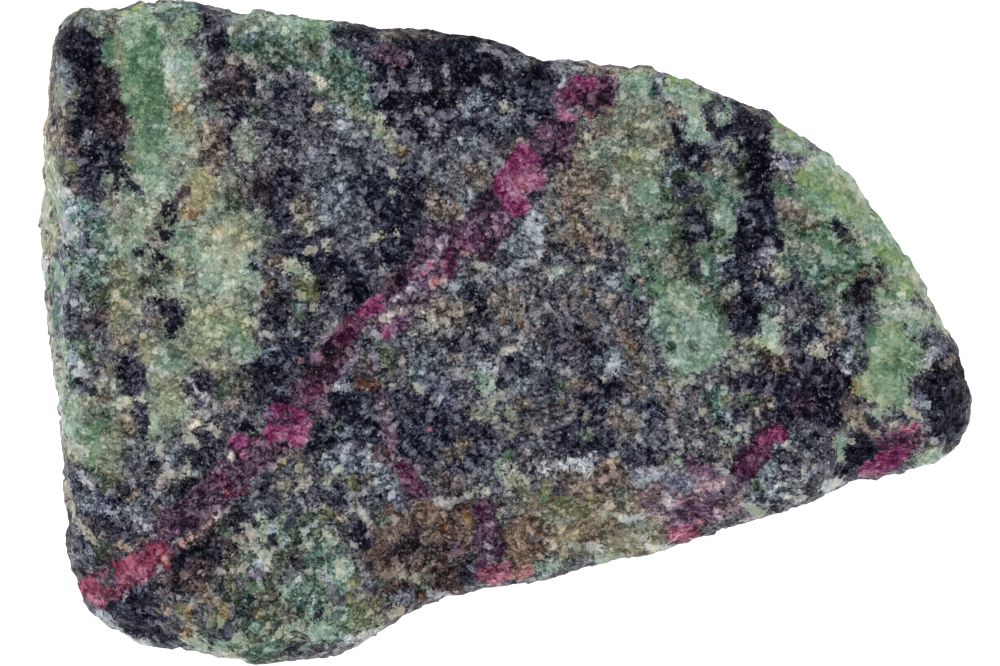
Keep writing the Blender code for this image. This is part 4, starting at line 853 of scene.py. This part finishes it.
rubyZones = {
    "lower left end": [
        ("red", 16, (92, 590), (108, 586), (124, 576), (146, 562), (160, 552)),
        ("crimson", 9, (84, 588), (90, 584)), ("crimson", 8, (118, 566), (130, 564), (146, 560)),
        ("crimson", 8, (154, 546), (160, 550)), ("core", 4, (111, 567), (113, 580)),
        ("core", 3, (100, 576), (103, 581)), ("salmon", 4, (168, 553), (167, 559)),
        ("lilac", 3, (161, 566)), ("rose", 4, (88, 600), (102, 604)),
        ("lilac", 3, (122, 598), (127, 594)), ("rose", 5, (140, 576), (146, 572)),
        ("rose", 3, (122, 582), (132, 572)), ("plum", 17, (172, 522), (190, 512), (210, 498)),
        ("night", 8, (176, 524), (194, 522)), ("night", 5, (204, 502), (210, 506)),
        ("mauve", 5, (170, 534), (178, 532)), ("salmon", 2.5, (184, 541), (194, 538)),
        ("plum", 4, (174, 546)), ("plum", 16, (214, 490), (232, 478)),
        ("mauve", 5, (222, 504), (226, 500)), ("wine", 9, (230, 492), (242, 486)),
        ("red", 3, (230, 492), (236, 490)), ("chalk", 2.5, (217, 517), (232, 509)),
        ("plum", 15, (226, 474), (242, 470), (256, 460)), ("wine", 9, (224, 480), (244, 470)),
    ],
    "band": [
        ("plum", 18, (246, 464), (264, 448), (288, 424), (308, 400)), ("wine", 12, (240, 443)),
        ("magenta", 7, (240, 441)), ("night", 3, (240, 452)), ("chalk", 2, (232, 455), (236, 460)),
        ("rose", 3, (245, 456)), ("magenta", 19, (286, 418), (293, 424)),
        ("mauve", 6, (272, 414), (276, 420)), ("magenta", 7, (270, 430), (273, 437)),
        ("magenta", 9, (301, 426), (298, 435)), ("wine", 7, (288, 414), (292, 422)),
        ("pink", 3, (306, 417), (308, 426)), ("pink", 3, (282, 434), (286, 438)),
        ("plum", 16, (308, 394), (324, 374), (338, 352)), ("night", 9, (314, 372), (328, 366)),
        ("night", 8, (330, 354), (338, 348)), ("salmon", 2.5, (304, 363), (305, 372)),
        ("mauve", 5, (313, 358), (319, 353)), ("mauve", 4, (300, 388), (308, 384)),
        ("lilac", 2.5, (324, 340), (330, 336)), ("mauve", 4, (338, 342), (346, 340)),
        ("wine", 7, (308, 398), (316, 388)),
        ("haze", 16, (446, 236), (428, 262), (404, 292), (380, 314)),
        ("plum", 10, (436, 230), (424, 246)), ("plum", 16, (492, 214), (474, 230), (466, 238)),
        ("plum", 11, (508, 208), (502, 230)), ("wine", 8, (478, 238), (462, 244)),
        ("night", 9, (493, 196), (484, 211)), ("night", 8, (490, 244), (485, 255)),
        ("mauve", 7, (501, 217), (498, 227)), ("mauve", 5, (474, 226), (464, 233)),
        ("salmon", 4, (463, 250), (471, 252)), ("coral", 2, (465, 249), (470, 251)),
        ("plum", 9, (424, 258), (410, 271), (394, 284)), ("night", 5, (404, 277), (396, 284)),
        ("mauve", 5, (420, 270), (412, 280)), ("lilac", 5, (444, 238), (440, 252)),
        ("lilac", 4, (430, 262), (422, 276)), ("lilac", 2, (416, 284), (398, 300)),
        ("wine", 8, (450, 256), (448, 272)), ("rose", 4, (433, 262), (426, 274)),
        ("pink", 3, (446, 262), (440, 272)), ("night", 5, (455, 255)),
        ("mauve", 8, (441, 275), (428, 284)), ("salmon", 4, (434, 285), (444, 281)),
        ("haze", 8, (426, 297), (411, 306)), ("plum", 8, (386, 296), (378, 301)),
        ("magenta", 9, (363, 315), (376, 306)), ("rose", 5, (374, 314)), ("pink", 3, (380, 296)),
        ("chalk", 4, (384, 317), (398, 310)), ("mauve", 9, (402, 322), (390, 332)),
        ("magenta", 5, (386, 332)), ("wine", 10, (356, 322), (344, 336)),
        ("haze", 6, (566, 162), (573, 140)), ("plum", 15, (562, 126), (554, 140), (551, 155)),
        ("night", 10, (546, 157), (556, 152)), ("mauve", 7, (541, 134), (549, 132)),
        ("plum", 8, (538, 147)), ("wine", 6, (562, 138), (560, 146)),
        ("magenta", 14, (523, 159), (508, 184)), ("magenta", 9, (500, 188), (504, 195)),
        ("magenta", 9, (514, 204), (520, 208)), ("pink", 11, (526, 176), (535, 180)),
        ("pink", 7, (509, 184), (520, 194)), ("magenta", 5, (528, 153)),
        ("rose", 4, (520, 178), (527, 190)), ("magenta", 4, (512, 166), (518, 172)),
        ("wine", 12, (567, 97), (606, 97)), ("wine", 11, (576, 87), (608, 87)),
        ("magenta", 6, (577, 82), (590, 84)), ("night", 6, (584, 103), (600, 102)),
        ("plum", 6, (612, 86), (609, 98)), ("lilac", 3, (577, 86)), ("mauve", 8, (556, 99), (560, 107)),
        ("magenta", 4, (568, 92)), ("pink", 6, (562, 116), (570, 118)),
        ("haze", 5, (582, 114), (594, 114)), ("salmon", 2, (584, 116), (592, 115)),
        ("plum", 10, (384, 53), (400, 60)),
    ],
    "branch": [
        ("haze", 9, (382, 398), (386, 420), (392, 440)), ("haze", 9, (380, 452), (394, 458)),
        ("haze", 11, (400, 462), (412, 476)), ("plum", 9, (412, 486), (422, 492)),
        ("mauve", 3, (391, 432), (395, 446)), ("wine", 6, (404, 470), (416, 486)),
        ("rose", 3.5, (429, 427), (432, 430)), ("haze", 12, (484, 508), (488, 540)),
        ("wine", 6, (482, 506), (484, 516)), ("mauve", 7, (490, 528), (494, 552)),
        ("plum", 11, (484, 542), (496, 546)), ("haze", 6, (476, 552), (482, 558)),
        ("chalk", 3, (486, 542), (489, 548)), ("lilac", 3, (484, 560), (494, 558)),
        ("wine", 9, (482, 570)), ("red", 10, (488, 574), (500, 572)),
        ("rose", 6, (492, 580), (506, 576)), ("rose", 5, (506, 564)),
        ("salmon", 5, (514, 576), (530, 570)),
    ],
    "lower right": [
        ("mauve", 9, (694, 466), (706, 474)), ("plum", 7, (690, 460)),
        ("lilac", 4, (690, 484), (704, 478)), ("mauve", 10, (702, 506), (686, 512)),
        ("chalk", 3, (664, 492), (668, 504)), ("haze", 8, (722, 498), (732, 490)),
        ("mauve", 6, (710, 494), (712, 502)), ("mauve", 6, (690, 520), (706, 516)),
        ("rose", 4, (700, 520)), ("plum", 14, (744, 468), (758, 448)),
        ("night", 7, (738, 462), (746, 456)), ("wine", 9, (744, 468), (757, 449)),
        ("purple", 3, (740, 476)), ("wine", 10, (764, 436), (776, 434)),
        ("magenta", 6, (770, 436), (778, 432)), ("magenta", 4, (760, 440)),
        ("rose", 9, (676, 534), (694, 531)), ("pink", 3, (680, 533), (684, 530)),
        ("haze", 6, (702, 526), (710, 522)), ("red", 6, (696, 532)),
    ],
    "right end": [
        ("plum", 13, (886, 440), (908, 438)), ("wine", 11, (886, 450), (904, 446)),
        ("magenta", 7, (880, 458), (902, 452)), ("magenta", 8, (866, 469), (882, 467), (894, 461)),
        ("pink", 3, (862, 474), (876, 472)), ("rose", 4, (904, 428), (914, 426)),
        ("mauve", 5, (920, 434)), ("wine", 4, (892, 436), (900, 434)),
    ],
}


layers = {
    "wide": 14,              # map squares; strokes with this half width or more are the ground
    "small": 6,              # below this a stroke is a single grain
    "softest": 2.5,          # map squares over which the thinnest soft stroke fades out
    "groundBlur": 0.25,      # and how much wider strokes fade further
    "stainBlur": 0.7,
    "halo": 12.0,            # map squares that colours reach past a crisp stroke, under frayed edges
    "deepest": 20.0,         # map squares; further inside or outside a crisp stroke all is the same
    "ridges": 25,            # rounds of smoothing that the ridges stand out of
}


def strokeDistance(places, points):
    # distance in map squares from each place to the line through the points
    nearest = np.full(len(places), np.inf)
    points = [np.array(p, float) for p in points]
    for start, end in zip(points, points[1:] or points):
        along = end - start
        length = max(float(along @ along), tiny)
        part = np.clip((places - start) @ along / length, 0, 1)
        away = places - start - part[:, None] * along
        nearest = np.minimum(nearest, np.hypot(away[:, 0], away[:, 1]))
    return nearest


def noiseVectors(places, size):
    return np.array([noise.noise_vector(Vector(p)) for p in places / size])


def grainMiddles(places, size):
    # the middle of the grain that each place is in
    return np.array([noise.voronoi(Vector(p))[1][0] for p in places / size]) * size


def underTop(places):
    # depth in mm of each place down the sides, from the rim; 0 on the main face
    corner = places[:, :2].min(0)
    columns = np.floor((places[:, :2] - corner) / face["column"])
    which = np.unique(columns, axis=0, return_inverse=True)[1].ravel()
    top = np.zeros(which.max() + 1)
    np.maximum.at(top, which, places[:, 2])
    return np.maximum(top[which] - places[:, 2] - face["rim"], 0)


def mapPlaces(places):
    # where each place lies on the map; down the sides it folds inward, slants and wanders
    wander, waves = face["wander"]
    shake, shakes = face["shake"]
    depth = underTop(places)[:, None]
    wide = noiseVectors(places, waves)[:, :2]
    fine = noiseVectors(places, shakes)[:, :2]
    half = np.abs(places[:, :2]).max(0)
    flat = places[:, :2] + face["snap"] * (grainMiddles(places, face["grain"]) - places)[:, :2]
    across = np.column_stack([-flat[:, 1], flat[:, 0]]) / half[::-1]
    drift = face["slant"] * across - face["fold"] * flat / half + wander * wide
    flat = flat + depth * drift + shake * fine
    flat = flat / face["square"]
    return np.column_stack([face["middle"][0] + flat[:, 0], face["middle"][1] - flat[:, 1]])


def rootColour(code):
    # colours are kept as square roots, so that they mix evenly to the eye
    return np.sqrt(linear(code))


def sidesOf(colours, name, count):
    # the dark and the light side of one of the colours, for each of the points
    return [np.tile(rootColour(side), (count, 1)) for side in colours[name]]


def softLayer(places, strokes, blur, fills=False):
    # each stroke melts into the ones under it; the last value is how much of the layer shows.
    # Where a layer fills, its colours stay full as it fades out
    dark, light = sidesOf(minerals, "ground", len(places))
    shown = np.zeros(len(places))
    for mineral, width, *points in strokes:
        soft = layers["softest"] + blur * width
        cover = np.clip((width + soft / 2 - strokeDistance(places, points)) / soft, 0, 1)
        cover = cover * cover * (3 - 2 * cover)
        share = cover / np.maximum(np.maximum(shown, cover), tiny) if fills else cover
        dark += share[:, None] * (rootColour(minerals[mineral][0]) - dark)
        light += share[:, None] * (rootColour(minerals[mineral][1]) - light)
        shown = np.maximum(shown, cover)
    return dark, light, shown


def crispLayer(places, strokes, colours):
    # the last value is how far in mm a place is inside the strokes
    dark, light = sidesOf(colours, next(iter(colours)), len(places))
    deepest = layers["deepest"]
    depth = np.full(len(places), -deepest)
    for name, width, *points in strokes:
        inside = width - strokeDistance(places, points)
        taken = (inside > 0) | (inside > np.maximum(depth, -layers["halo"]))
        dark[taken] = rootColour(colours[name][0])
        light[taken] = rootColour(colours[name][1])
        depth = np.maximum(depth, inside)
    return dark, light, np.clip(depth, -deepest, deepest) * face["square"]


def storeLayer(piece, name, layer):
    dark, light, last = layer
    for side, colours in (("Dark", dark), ("Light", light)):
        attribute = piece.data.attributes.new(name + side, "FLOAT_COLOR", "POINT")
        values = np.column_stack([colours, last]).astype(np.float32)
        attribute.data.foreach_set("color", np.ascontiguousarray(values).ravel())


def paintMinerals(piece):
    places = mapPlaces(meshPlaces(piece))
    strokes = [stroke for zone in zones.values() for stroke in zone]
    band = [stroke for zone in rubyZones.values() for stroke in zone]
    ground = [s for s in strokes if s[1] >= layers["wide"]]
    narrow = [s for s in strokes if s[1] < layers["wide"]]
    stains = [s for s in narrow if s[0] in stainNames]
    patches = [s for s in narrow if s[0] not in stainNames and s[1] >= layers["small"]]
    grains = [s for s in narrow if s[0] not in stainNames and s[1] < layers["small"]]
    dark, light, shown = softLayer(places, ground, layers["groundBlur"])
    # the field's last value is how far each point stands out of the smoothed surface; the material paints
    # shade into hollows and highlight onto ridges from it
    storeLayer(piece, "field", (dark, light, standOut(piece, layers["ridges"])))
    storeLayer(piece, "patch", crispLayer(places, patches, minerals))
    storeLayer(piece, "grain", crispLayer(places, grains, minerals))
    storeLayer(piece, "stain", softLayer(places, stains, layers["stainBlur"], fills=True))
    storeLayer(piece, "ruby", crispLayer(places, band, rubyTones))


class Graph:
    # short ways to add and join shader nodes
    def __init__(self, name):
        self.material = bpy.data.materials.new(name)
        self.material.use_nodes = True
        self.tree = self.material.node_tree
        self.surface = self.tree.nodes["Principled BSDF"]

    def put(self, socket, value):
        if isinstance(value, bpy.types.NodeSocket):
            self.tree.links.new(value, socket)
        else:
            socket.default_value = value

    def add(self, kind, inputs=(), **settings):
        node = self.tree.nodes.new(kind)
        for name, value in settings.items():
            setattr(node, name, value)
        for key, value in dict(inputs).items():
            self.put(node.inputs[key], value)
        return node

    def math(self, operation, *values):
        node = self.add("ShaderNodeMath", operation=operation)
        for socket, value in zip(node.inputs, values):
            self.put(socket, value)
        return node.outputs[0]

    def sum(self, values, weights):
        # the values are centred on 0.5 and the sum on 0
        total = None
        for value, weight in zip(values, weights, strict=True):
            part = self.math("MULTIPLY", self.math("SUBTRACT", value, 0.5), weight)
            total = part if total is None else self.math("ADD", total, part)
        return total

    def vector(self, operation, *values):
        node = self.add("ShaderNodeVectorMath", operation=operation)
        for socket, value in zip(node.inputs, values):
            self.put(socket, value)
        return node.outputs[0]

    def scale(self, vector, factor):
        return self.add("ShaderNodeVectorMath", {0: vector, 3: factor}, operation="SCALE").outputs[0]

    def sway(self, colour, size):
        # a colour as a push to any side
        return self.scale(self.vector("SUBTRACT", colour, (0.5, 0.5, 0.5)), size)

    def blend(self, share, first, second):
        inputs = {0: share, 6: first, 7: second}
        return self.add("ShaderNodeMix", inputs, data_type="RGBA", clamp_factor=False).outputs[2]

    def ramp(self, value, low, high, start=0.0, end=1.0):
        inputs = {"Value": value, "From Min": low, "From Max": high, "To Min": start, "To Max": end}
        return self.add("ShaderNodeMapRange", inputs, interpolation_type="SMOOTHSTEP").outputs[0]

    def noise(self, places, scale, detail, roughness, output="Fac"):
        inputs = {"Vector": places, "Scale": scale, "Detail": detail, "Roughness": roughness}
        return self.add("ShaderNodeTexNoise", inputs).outputs[output]

    def cells(self, places, scale):
        # for every grain a colour, the colour's parts, and the place of its middle
        node = self.add("ShaderNodeTexVoronoi", {"Vector": places, "Scale": scale})
        split = self.add("ShaderNodeSeparateColor", {"Color": node.outputs["Color"]})
        return node.outputs["Color"], split.outputs, node.outputs["Position"]

    def attribute(self, name):
        return self.add("ShaderNodeAttribute", attribute_name=name).outputs


rockFinish = {
    "grains": (1.9, 3.8, 7.2),            # grains to a millimetre: coarse, fine and specks
    "bend": (1.4, 1.0, 0.4),              # noise that bends them: waves to a millimetre, detail, roughness
    "bendBy": 0.22,                       # mm
    "cloud": (0.8, 5.0, 0.75),            # the same numbers for the soft noises between the grains
    "haze": (2.6, 3.0, 0.8),
    "grit": (7.0, 2.0, 0.8),
    "contrast": (0.45, 0.65, 0.60, 1.1, 1.2, 1.4),    # how much each of the six darkens and lightens
    "ridges": (-0.25, 0.25, 0.15, 0.55),  # mm, low and high on the relief, and the light added there: painted shade in hollows, painted highlight on ridges
    "lightLimits": (-0.2, 1.7),
    "plates": [(1.05, 0.75, 0.95), (0.52, 0.70, 0.75)],   # mm, share of the grains, brightness
    "plateBend": 0.10,                    # mm
    "plateTurn": 6.28,                    # radians, a full turn
    "plateHalf": (0.46, 0.20, 0.34),      # half of each side of a plate, as a share of its cell
    "plateEdge": (0.80, 1.15),            # where it fades out, as a share of those
    "plateDullest": 0.3,
    "fray": (0.5, 0.9, 0.9, 1.6, 1.6),    # how much grains, specks, cloud and haze fray an edge
    "ragged": {"patch": 0.50, "grain": 0.24, "ruby": 0.18},      # mm, how far edges fray
    "cover": {"patch": 0.92, "grain": 0.85, "ruby": 1.0},
    "edge": (-0.08, 0.10),                # mm, from outside to inside an edge
    "grainLight": (0.55, 0.30),           # single grains are evener: share of the light, and more light
    "stain": (-0.7, 0.5, 0.2, 0.65),      # low and high of the fray, and how strongly stains tint there
    "warm": "#a08d78",                    # light grains lean to one or the other
    "cool": "#8690a0",
    "tinge": (0.4, 1.0, 0.0, 0.16),       # from this light to this, and how far they lean
    "wash": (0.35, 3.0, 0.6),             # noise of the soft warmer and cooler patches
    "washEdge": (0.36, 0.64),
    "washTints": ((1.04, 0.995, 0.975), (0.98, 1.0, 1.015)),
    "edgeDustAndHighlight": "#c6c5ba",                  # pale dust on rubbed edges, and also a painted highlight that brightens the rims and ridges
    "edgeDustAndHighlightAt": (0.34, 0.75, 0.0, 0.6),   # mm, where on the relief it begins and is thickest, and cover
    "edgeDustAndHighlightFray": 0.12,
    "paintedGlint": "#dfe4ea",                 # painted glints: a few grains are painted near white, as if they caught the light
    "glintShare": 0.5,                  # how much the fine grains choose them, beside the specks
    "glintAt": (1.30, 1.46, 0.0, 0.5),
    "darkest": 0.02,
    "tilt": 0.30,
    "bumps": (0.3, 0.3, 0.9, 0.5),        # how high grains, cloud and haze stand
    "bumpStrength": 0.45,
    "bumpHeight": 0.2,                    # mm
    "roughness": (0.40, 0.80),
    "gloss": 0.03,
}


def paint(code):
    return (*rootColour(code), 1.0)


def plateLight(g, places, size, share, finish):
    # a thin plate in some of the cells, each turned its own way, and how bright it is
    colour, tint, middle = g.cells(places, 1 / size)
    turn = {"Vector": g.vector("SUBTRACT", places, middle),
            "Rotation": g.scale(colour, finish["plateTurn"])}
    turned = g.add("ShaderNodeVectorRotate", turn, rotation_type="EULER_XYZ").outputs[0]
    half = [part * size for part in finish["plateHalf"]]
    reach = g.vector("DIVIDE", g.vector("ABSOLUTE", turned), half)
    x, y, z = g.add("ShaderNodeSeparateXYZ", {"Vector": reach}).outputs
    outside = g.math("MAXIMUM", g.math("MAXIMUM", x, y), z)
    dullest = finish["plateDullest"]
    bright = g.math("MULTIPLY_ADD", tint[1], 1 - dullest, dullest)
    bright = g.math("MULTIPLY", g.math("LESS_THAN", tint[0], share), bright)
    return g.math("MULTIPLY", bright, g.ramp(outside, *finish["plateEdge"], 1.0, 0.0))


def layerMask(g, name, depth, fray, finish):
    # how much of a layer shows, with a frayed edge
    if name == "stain":
        return g.math("MULTIPLY", depth, g.ramp(fray, *finish["stain"]))
    edge = g.math("ADD", depth, g.math("MULTIPLY", fray, finish["ragged"][name]))
    return g.ramp(edge, *finish["edge"], 0.0, finish["cover"][name])


def rockMaterial(finish):
    g = Graph("ruby_in_zoisite")
    places = g.scale(g.add("ShaderNodeTexCoord").outputs["Object"], 1 / mm)
    loose = g.vector("ADD", places, g.sway(g.noise(places, *finish["bend"], "Color"), finish["bendBy"]))
    coarse, fine, specks = [g.cells(loose, scale) for scale in finish["grains"]]
    a, b, c = coarse[1], fine[1], specks[1]
    cloud, haze, grit = [g.noise(places, *finish[name]) for name in ("cloud", "haze", "grit")]
    # where between its dark and its light side each grain is
    light = g.sum((a[0], b[0], c[0], cloud, haze, grit), finish["contrast"])
    field = g.attribute("fieldDark"), g.attribute("fieldLight")
    ridge = field[0]["Alpha"]
    # painted shade and highlight: grains are darker in hollows of the relief and lighter on its ridges
    light = g.math("ADD", light, g.ramp(ridge, *finish["ridges"]))
    edges = g.vector("ADD", loose, g.scale(fine[0], finish["plateBend"]))
    for size, share, bright in finish["plates"]:
        light = g.math("MULTIPLY_ADD", plateLight(g, edges, size, share, finish), bright, light)
    least, most = finish["lightLimits"]
    light = g.math("MINIMUM", g.math("MAXIMUM", light, least), most)
    # the layers, each over the last
    colour = g.blend(light, field[0]["Color"], field[1]["Color"])
    fray = g.sum((a[1], b[1], c[1], cloud, haze), finish["fray"])
    for name in ("patch", "grain", "stain", "ruby"):
        dark, pale = g.attribute(name + "Dark"), g.attribute(name + "Light")
        mask = layerMask(g, name, dark["Alpha"], fray, finish)
        side = g.math("MULTIPLY_ADD", light, *finish["grainLight"]) if name == "grain" else light
        colour = g.blend(mask, colour, g.blend(side, dark["Color"], pale["Color"]))
    warmth = g.blend(b[1], paint(finish["warm"]), paint(finish["cool"]))
    colour = g.blend(g.ramp(light, *finish["tinge"]), colour, warmth)
    wash = g.ramp(g.noise(places, *finish["wash"]), *finish["washEdge"])
    colour = g.vector("MULTIPLY", colour, g.blend(wash, *[(*tint, 1.0) for tint in finish["washTints"]]))
    # pale dust and painted highlight on the ridges of the relief
    dustAndHighlight = g.math("ADD", ridge, g.math("MULTIPLY", fray, finish["edgeDustAndHighlightFray"]))
    colour = g.blend(g.ramp(dustAndHighlight, *finish["edgeDustAndHighlightAt"]), colour, paint(finish["edgeDustAndHighlight"]))
    # painted glints: a few grains turn near white in the colour
    glinting = g.math("ADD", c[2], g.math("MULTIPLY", b[2], finish["glintShare"]))
    colour = g.blend(g.ramp(glinting, *finish["glintAt"]), colour, paint(finish["paintedGlint"]))
    colour = g.vector("MAXIMUM", colour, [finish["darkest"]] * 3)
    g.put(g.surface.inputs["Base Color"], g.vector("MULTIPLY", colour, colour))
    # every grain is a small facet with its own tilt
    tilt = g.vector("ADD", g.sway(fine[0], finish["tilt"]), g.sway(specks[0], finish["tilt"]))
    height = g.sum((a[0], b[0], cloud, haze), finish["bumps"])
    bump = g.add("ShaderNodeBump", {"Strength": finish["bumpStrength"],
                                    "Distance": finish["bumpHeight"] * mm, "Height": height})
    g.put(g.surface.inputs["Normal"], g.vector("NORMALIZE", g.vector("ADD", bump.outputs[0], tilt)))
    g.put(g.surface.inputs["Roughness"], g.ramp(b[0], 0.0, 1.0, *finish["roughness"]))
    g.put(g.surface.inputs["Specular IOR Level"], finish["gloss"])
    return g.material


studio = {
    "floorSize": 1.6,         # m
    "floorDrop": 0.05,        # mm under the stone
    "floorShade": 0.9,
    "floorRoughness": 0.9,
    "floorGlow": 0.7,         # keeps the floor white, with only a faint shadow
    "frameWidth": 80.0,       # mm of the stone's plane across the picture
    "frameHeight": 12.5,      # mm, height of that plane
    "aim": (-0.4, -0.08),     # mm, the middle of the picture
    "lens": 300.0,            # mm
    "sensor": 36.0,           # mm
    "clip": (0.01, 20.0),     # m, nearest and furthest that the camera sees
    "softboxes": [            # name, place and size in m, watts
        ("key_softbox", (-0.35, 0.30, 0.55), 0.45, 2.0),
        ("fill_softbox", (0.45, -0.25, 0.5), 0.6, 0.9),
    ],
    "around": 0.60,           # light from all sides
}


def makeFloor(settings):
    place = (0, 0, -settings["floorDrop"] * mm)
    bpy.ops.mesh.primitive_plane_add(size=settings["floorSize"], location=place)
    floor = bpy.context.object
    floor.name = "studio_floor"
    material = bpy.data.materials.new("studio_floor")
    material.use_nodes = True
    surface = material.node_tree.nodes["Principled BSDF"]
    surface.inputs["Base Color"].default_value = (*[settings["floorShade"]] * 3, 1)
    surface.inputs["Roughness"].default_value = settings["floorRoughness"]
    surface.inputs["Emission Color"].default_value = (1, 1, 1, 1)
    surface.inputs["Emission Strength"].default_value = settings["floorGlow"]
    floor.data.materials.append(material)


def makeLights(settings):
    for name, place, size, watts in settings["softboxes"]:
        bpy.ops.object.light_add(type="AREA", location=place)
        lamp = bpy.context.object
        lamp.name = name
        lamp.data.shape = "SQUARE"
        lamp.data.size = size
        lamp.data.energy = watts
        lamp.rotation_euler = (-Vector(place)).to_track_quat("-Z", "Y").to_euler()
    world = bpy.data.worlds.new("studio")
    world.use_nodes = True
    background = world.node_tree.nodes["Background"]
    background.inputs["Color"].default_value = (1, 1, 1, 1)
    background.inputs["Strength"].default_value = settings["around"]
    bpy.context.scene.world = world


def makeCamera(settings):
    distance = settings["frameWidth"] * mm * settings["lens"] / settings["sensor"]
    x, y = settings["aim"]
    bpy.ops.object.camera_add(location=(x * mm, y * mm, settings["frameHeight"] * mm + distance))
    camera = bpy.context.object
    camera.data.lens = settings["lens"]
    camera.data.sensor_width = settings["sensor"]
    camera.data.clip_start, camera.data.clip_end = settings["clip"]
    bpy.context.scene.camera = camera


print("rock: fine surface")
rock = copyStone(stoneShape)
roughenStone(rock, stoneShape)
print("rock: minerals on", len(rock.data.vertices), "points,", len(rock.data.polygons), "faces")
paintMinerals(rock)
rock.data.materials.clear()
rock.data.materials.append(rockMaterial(rockFinish))
deselectAll()
rock.select_set(True)
bpy.context.view_layer.objects.active = rock
bpy.ops.object.shade_smooth()
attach(rock, "root")
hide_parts("stone")
print("studio")
makeFloor(studio)
makeLights(studio)
makeCamera(studio)
bpy.context.scene.view_settings.view_transform = "Standard"
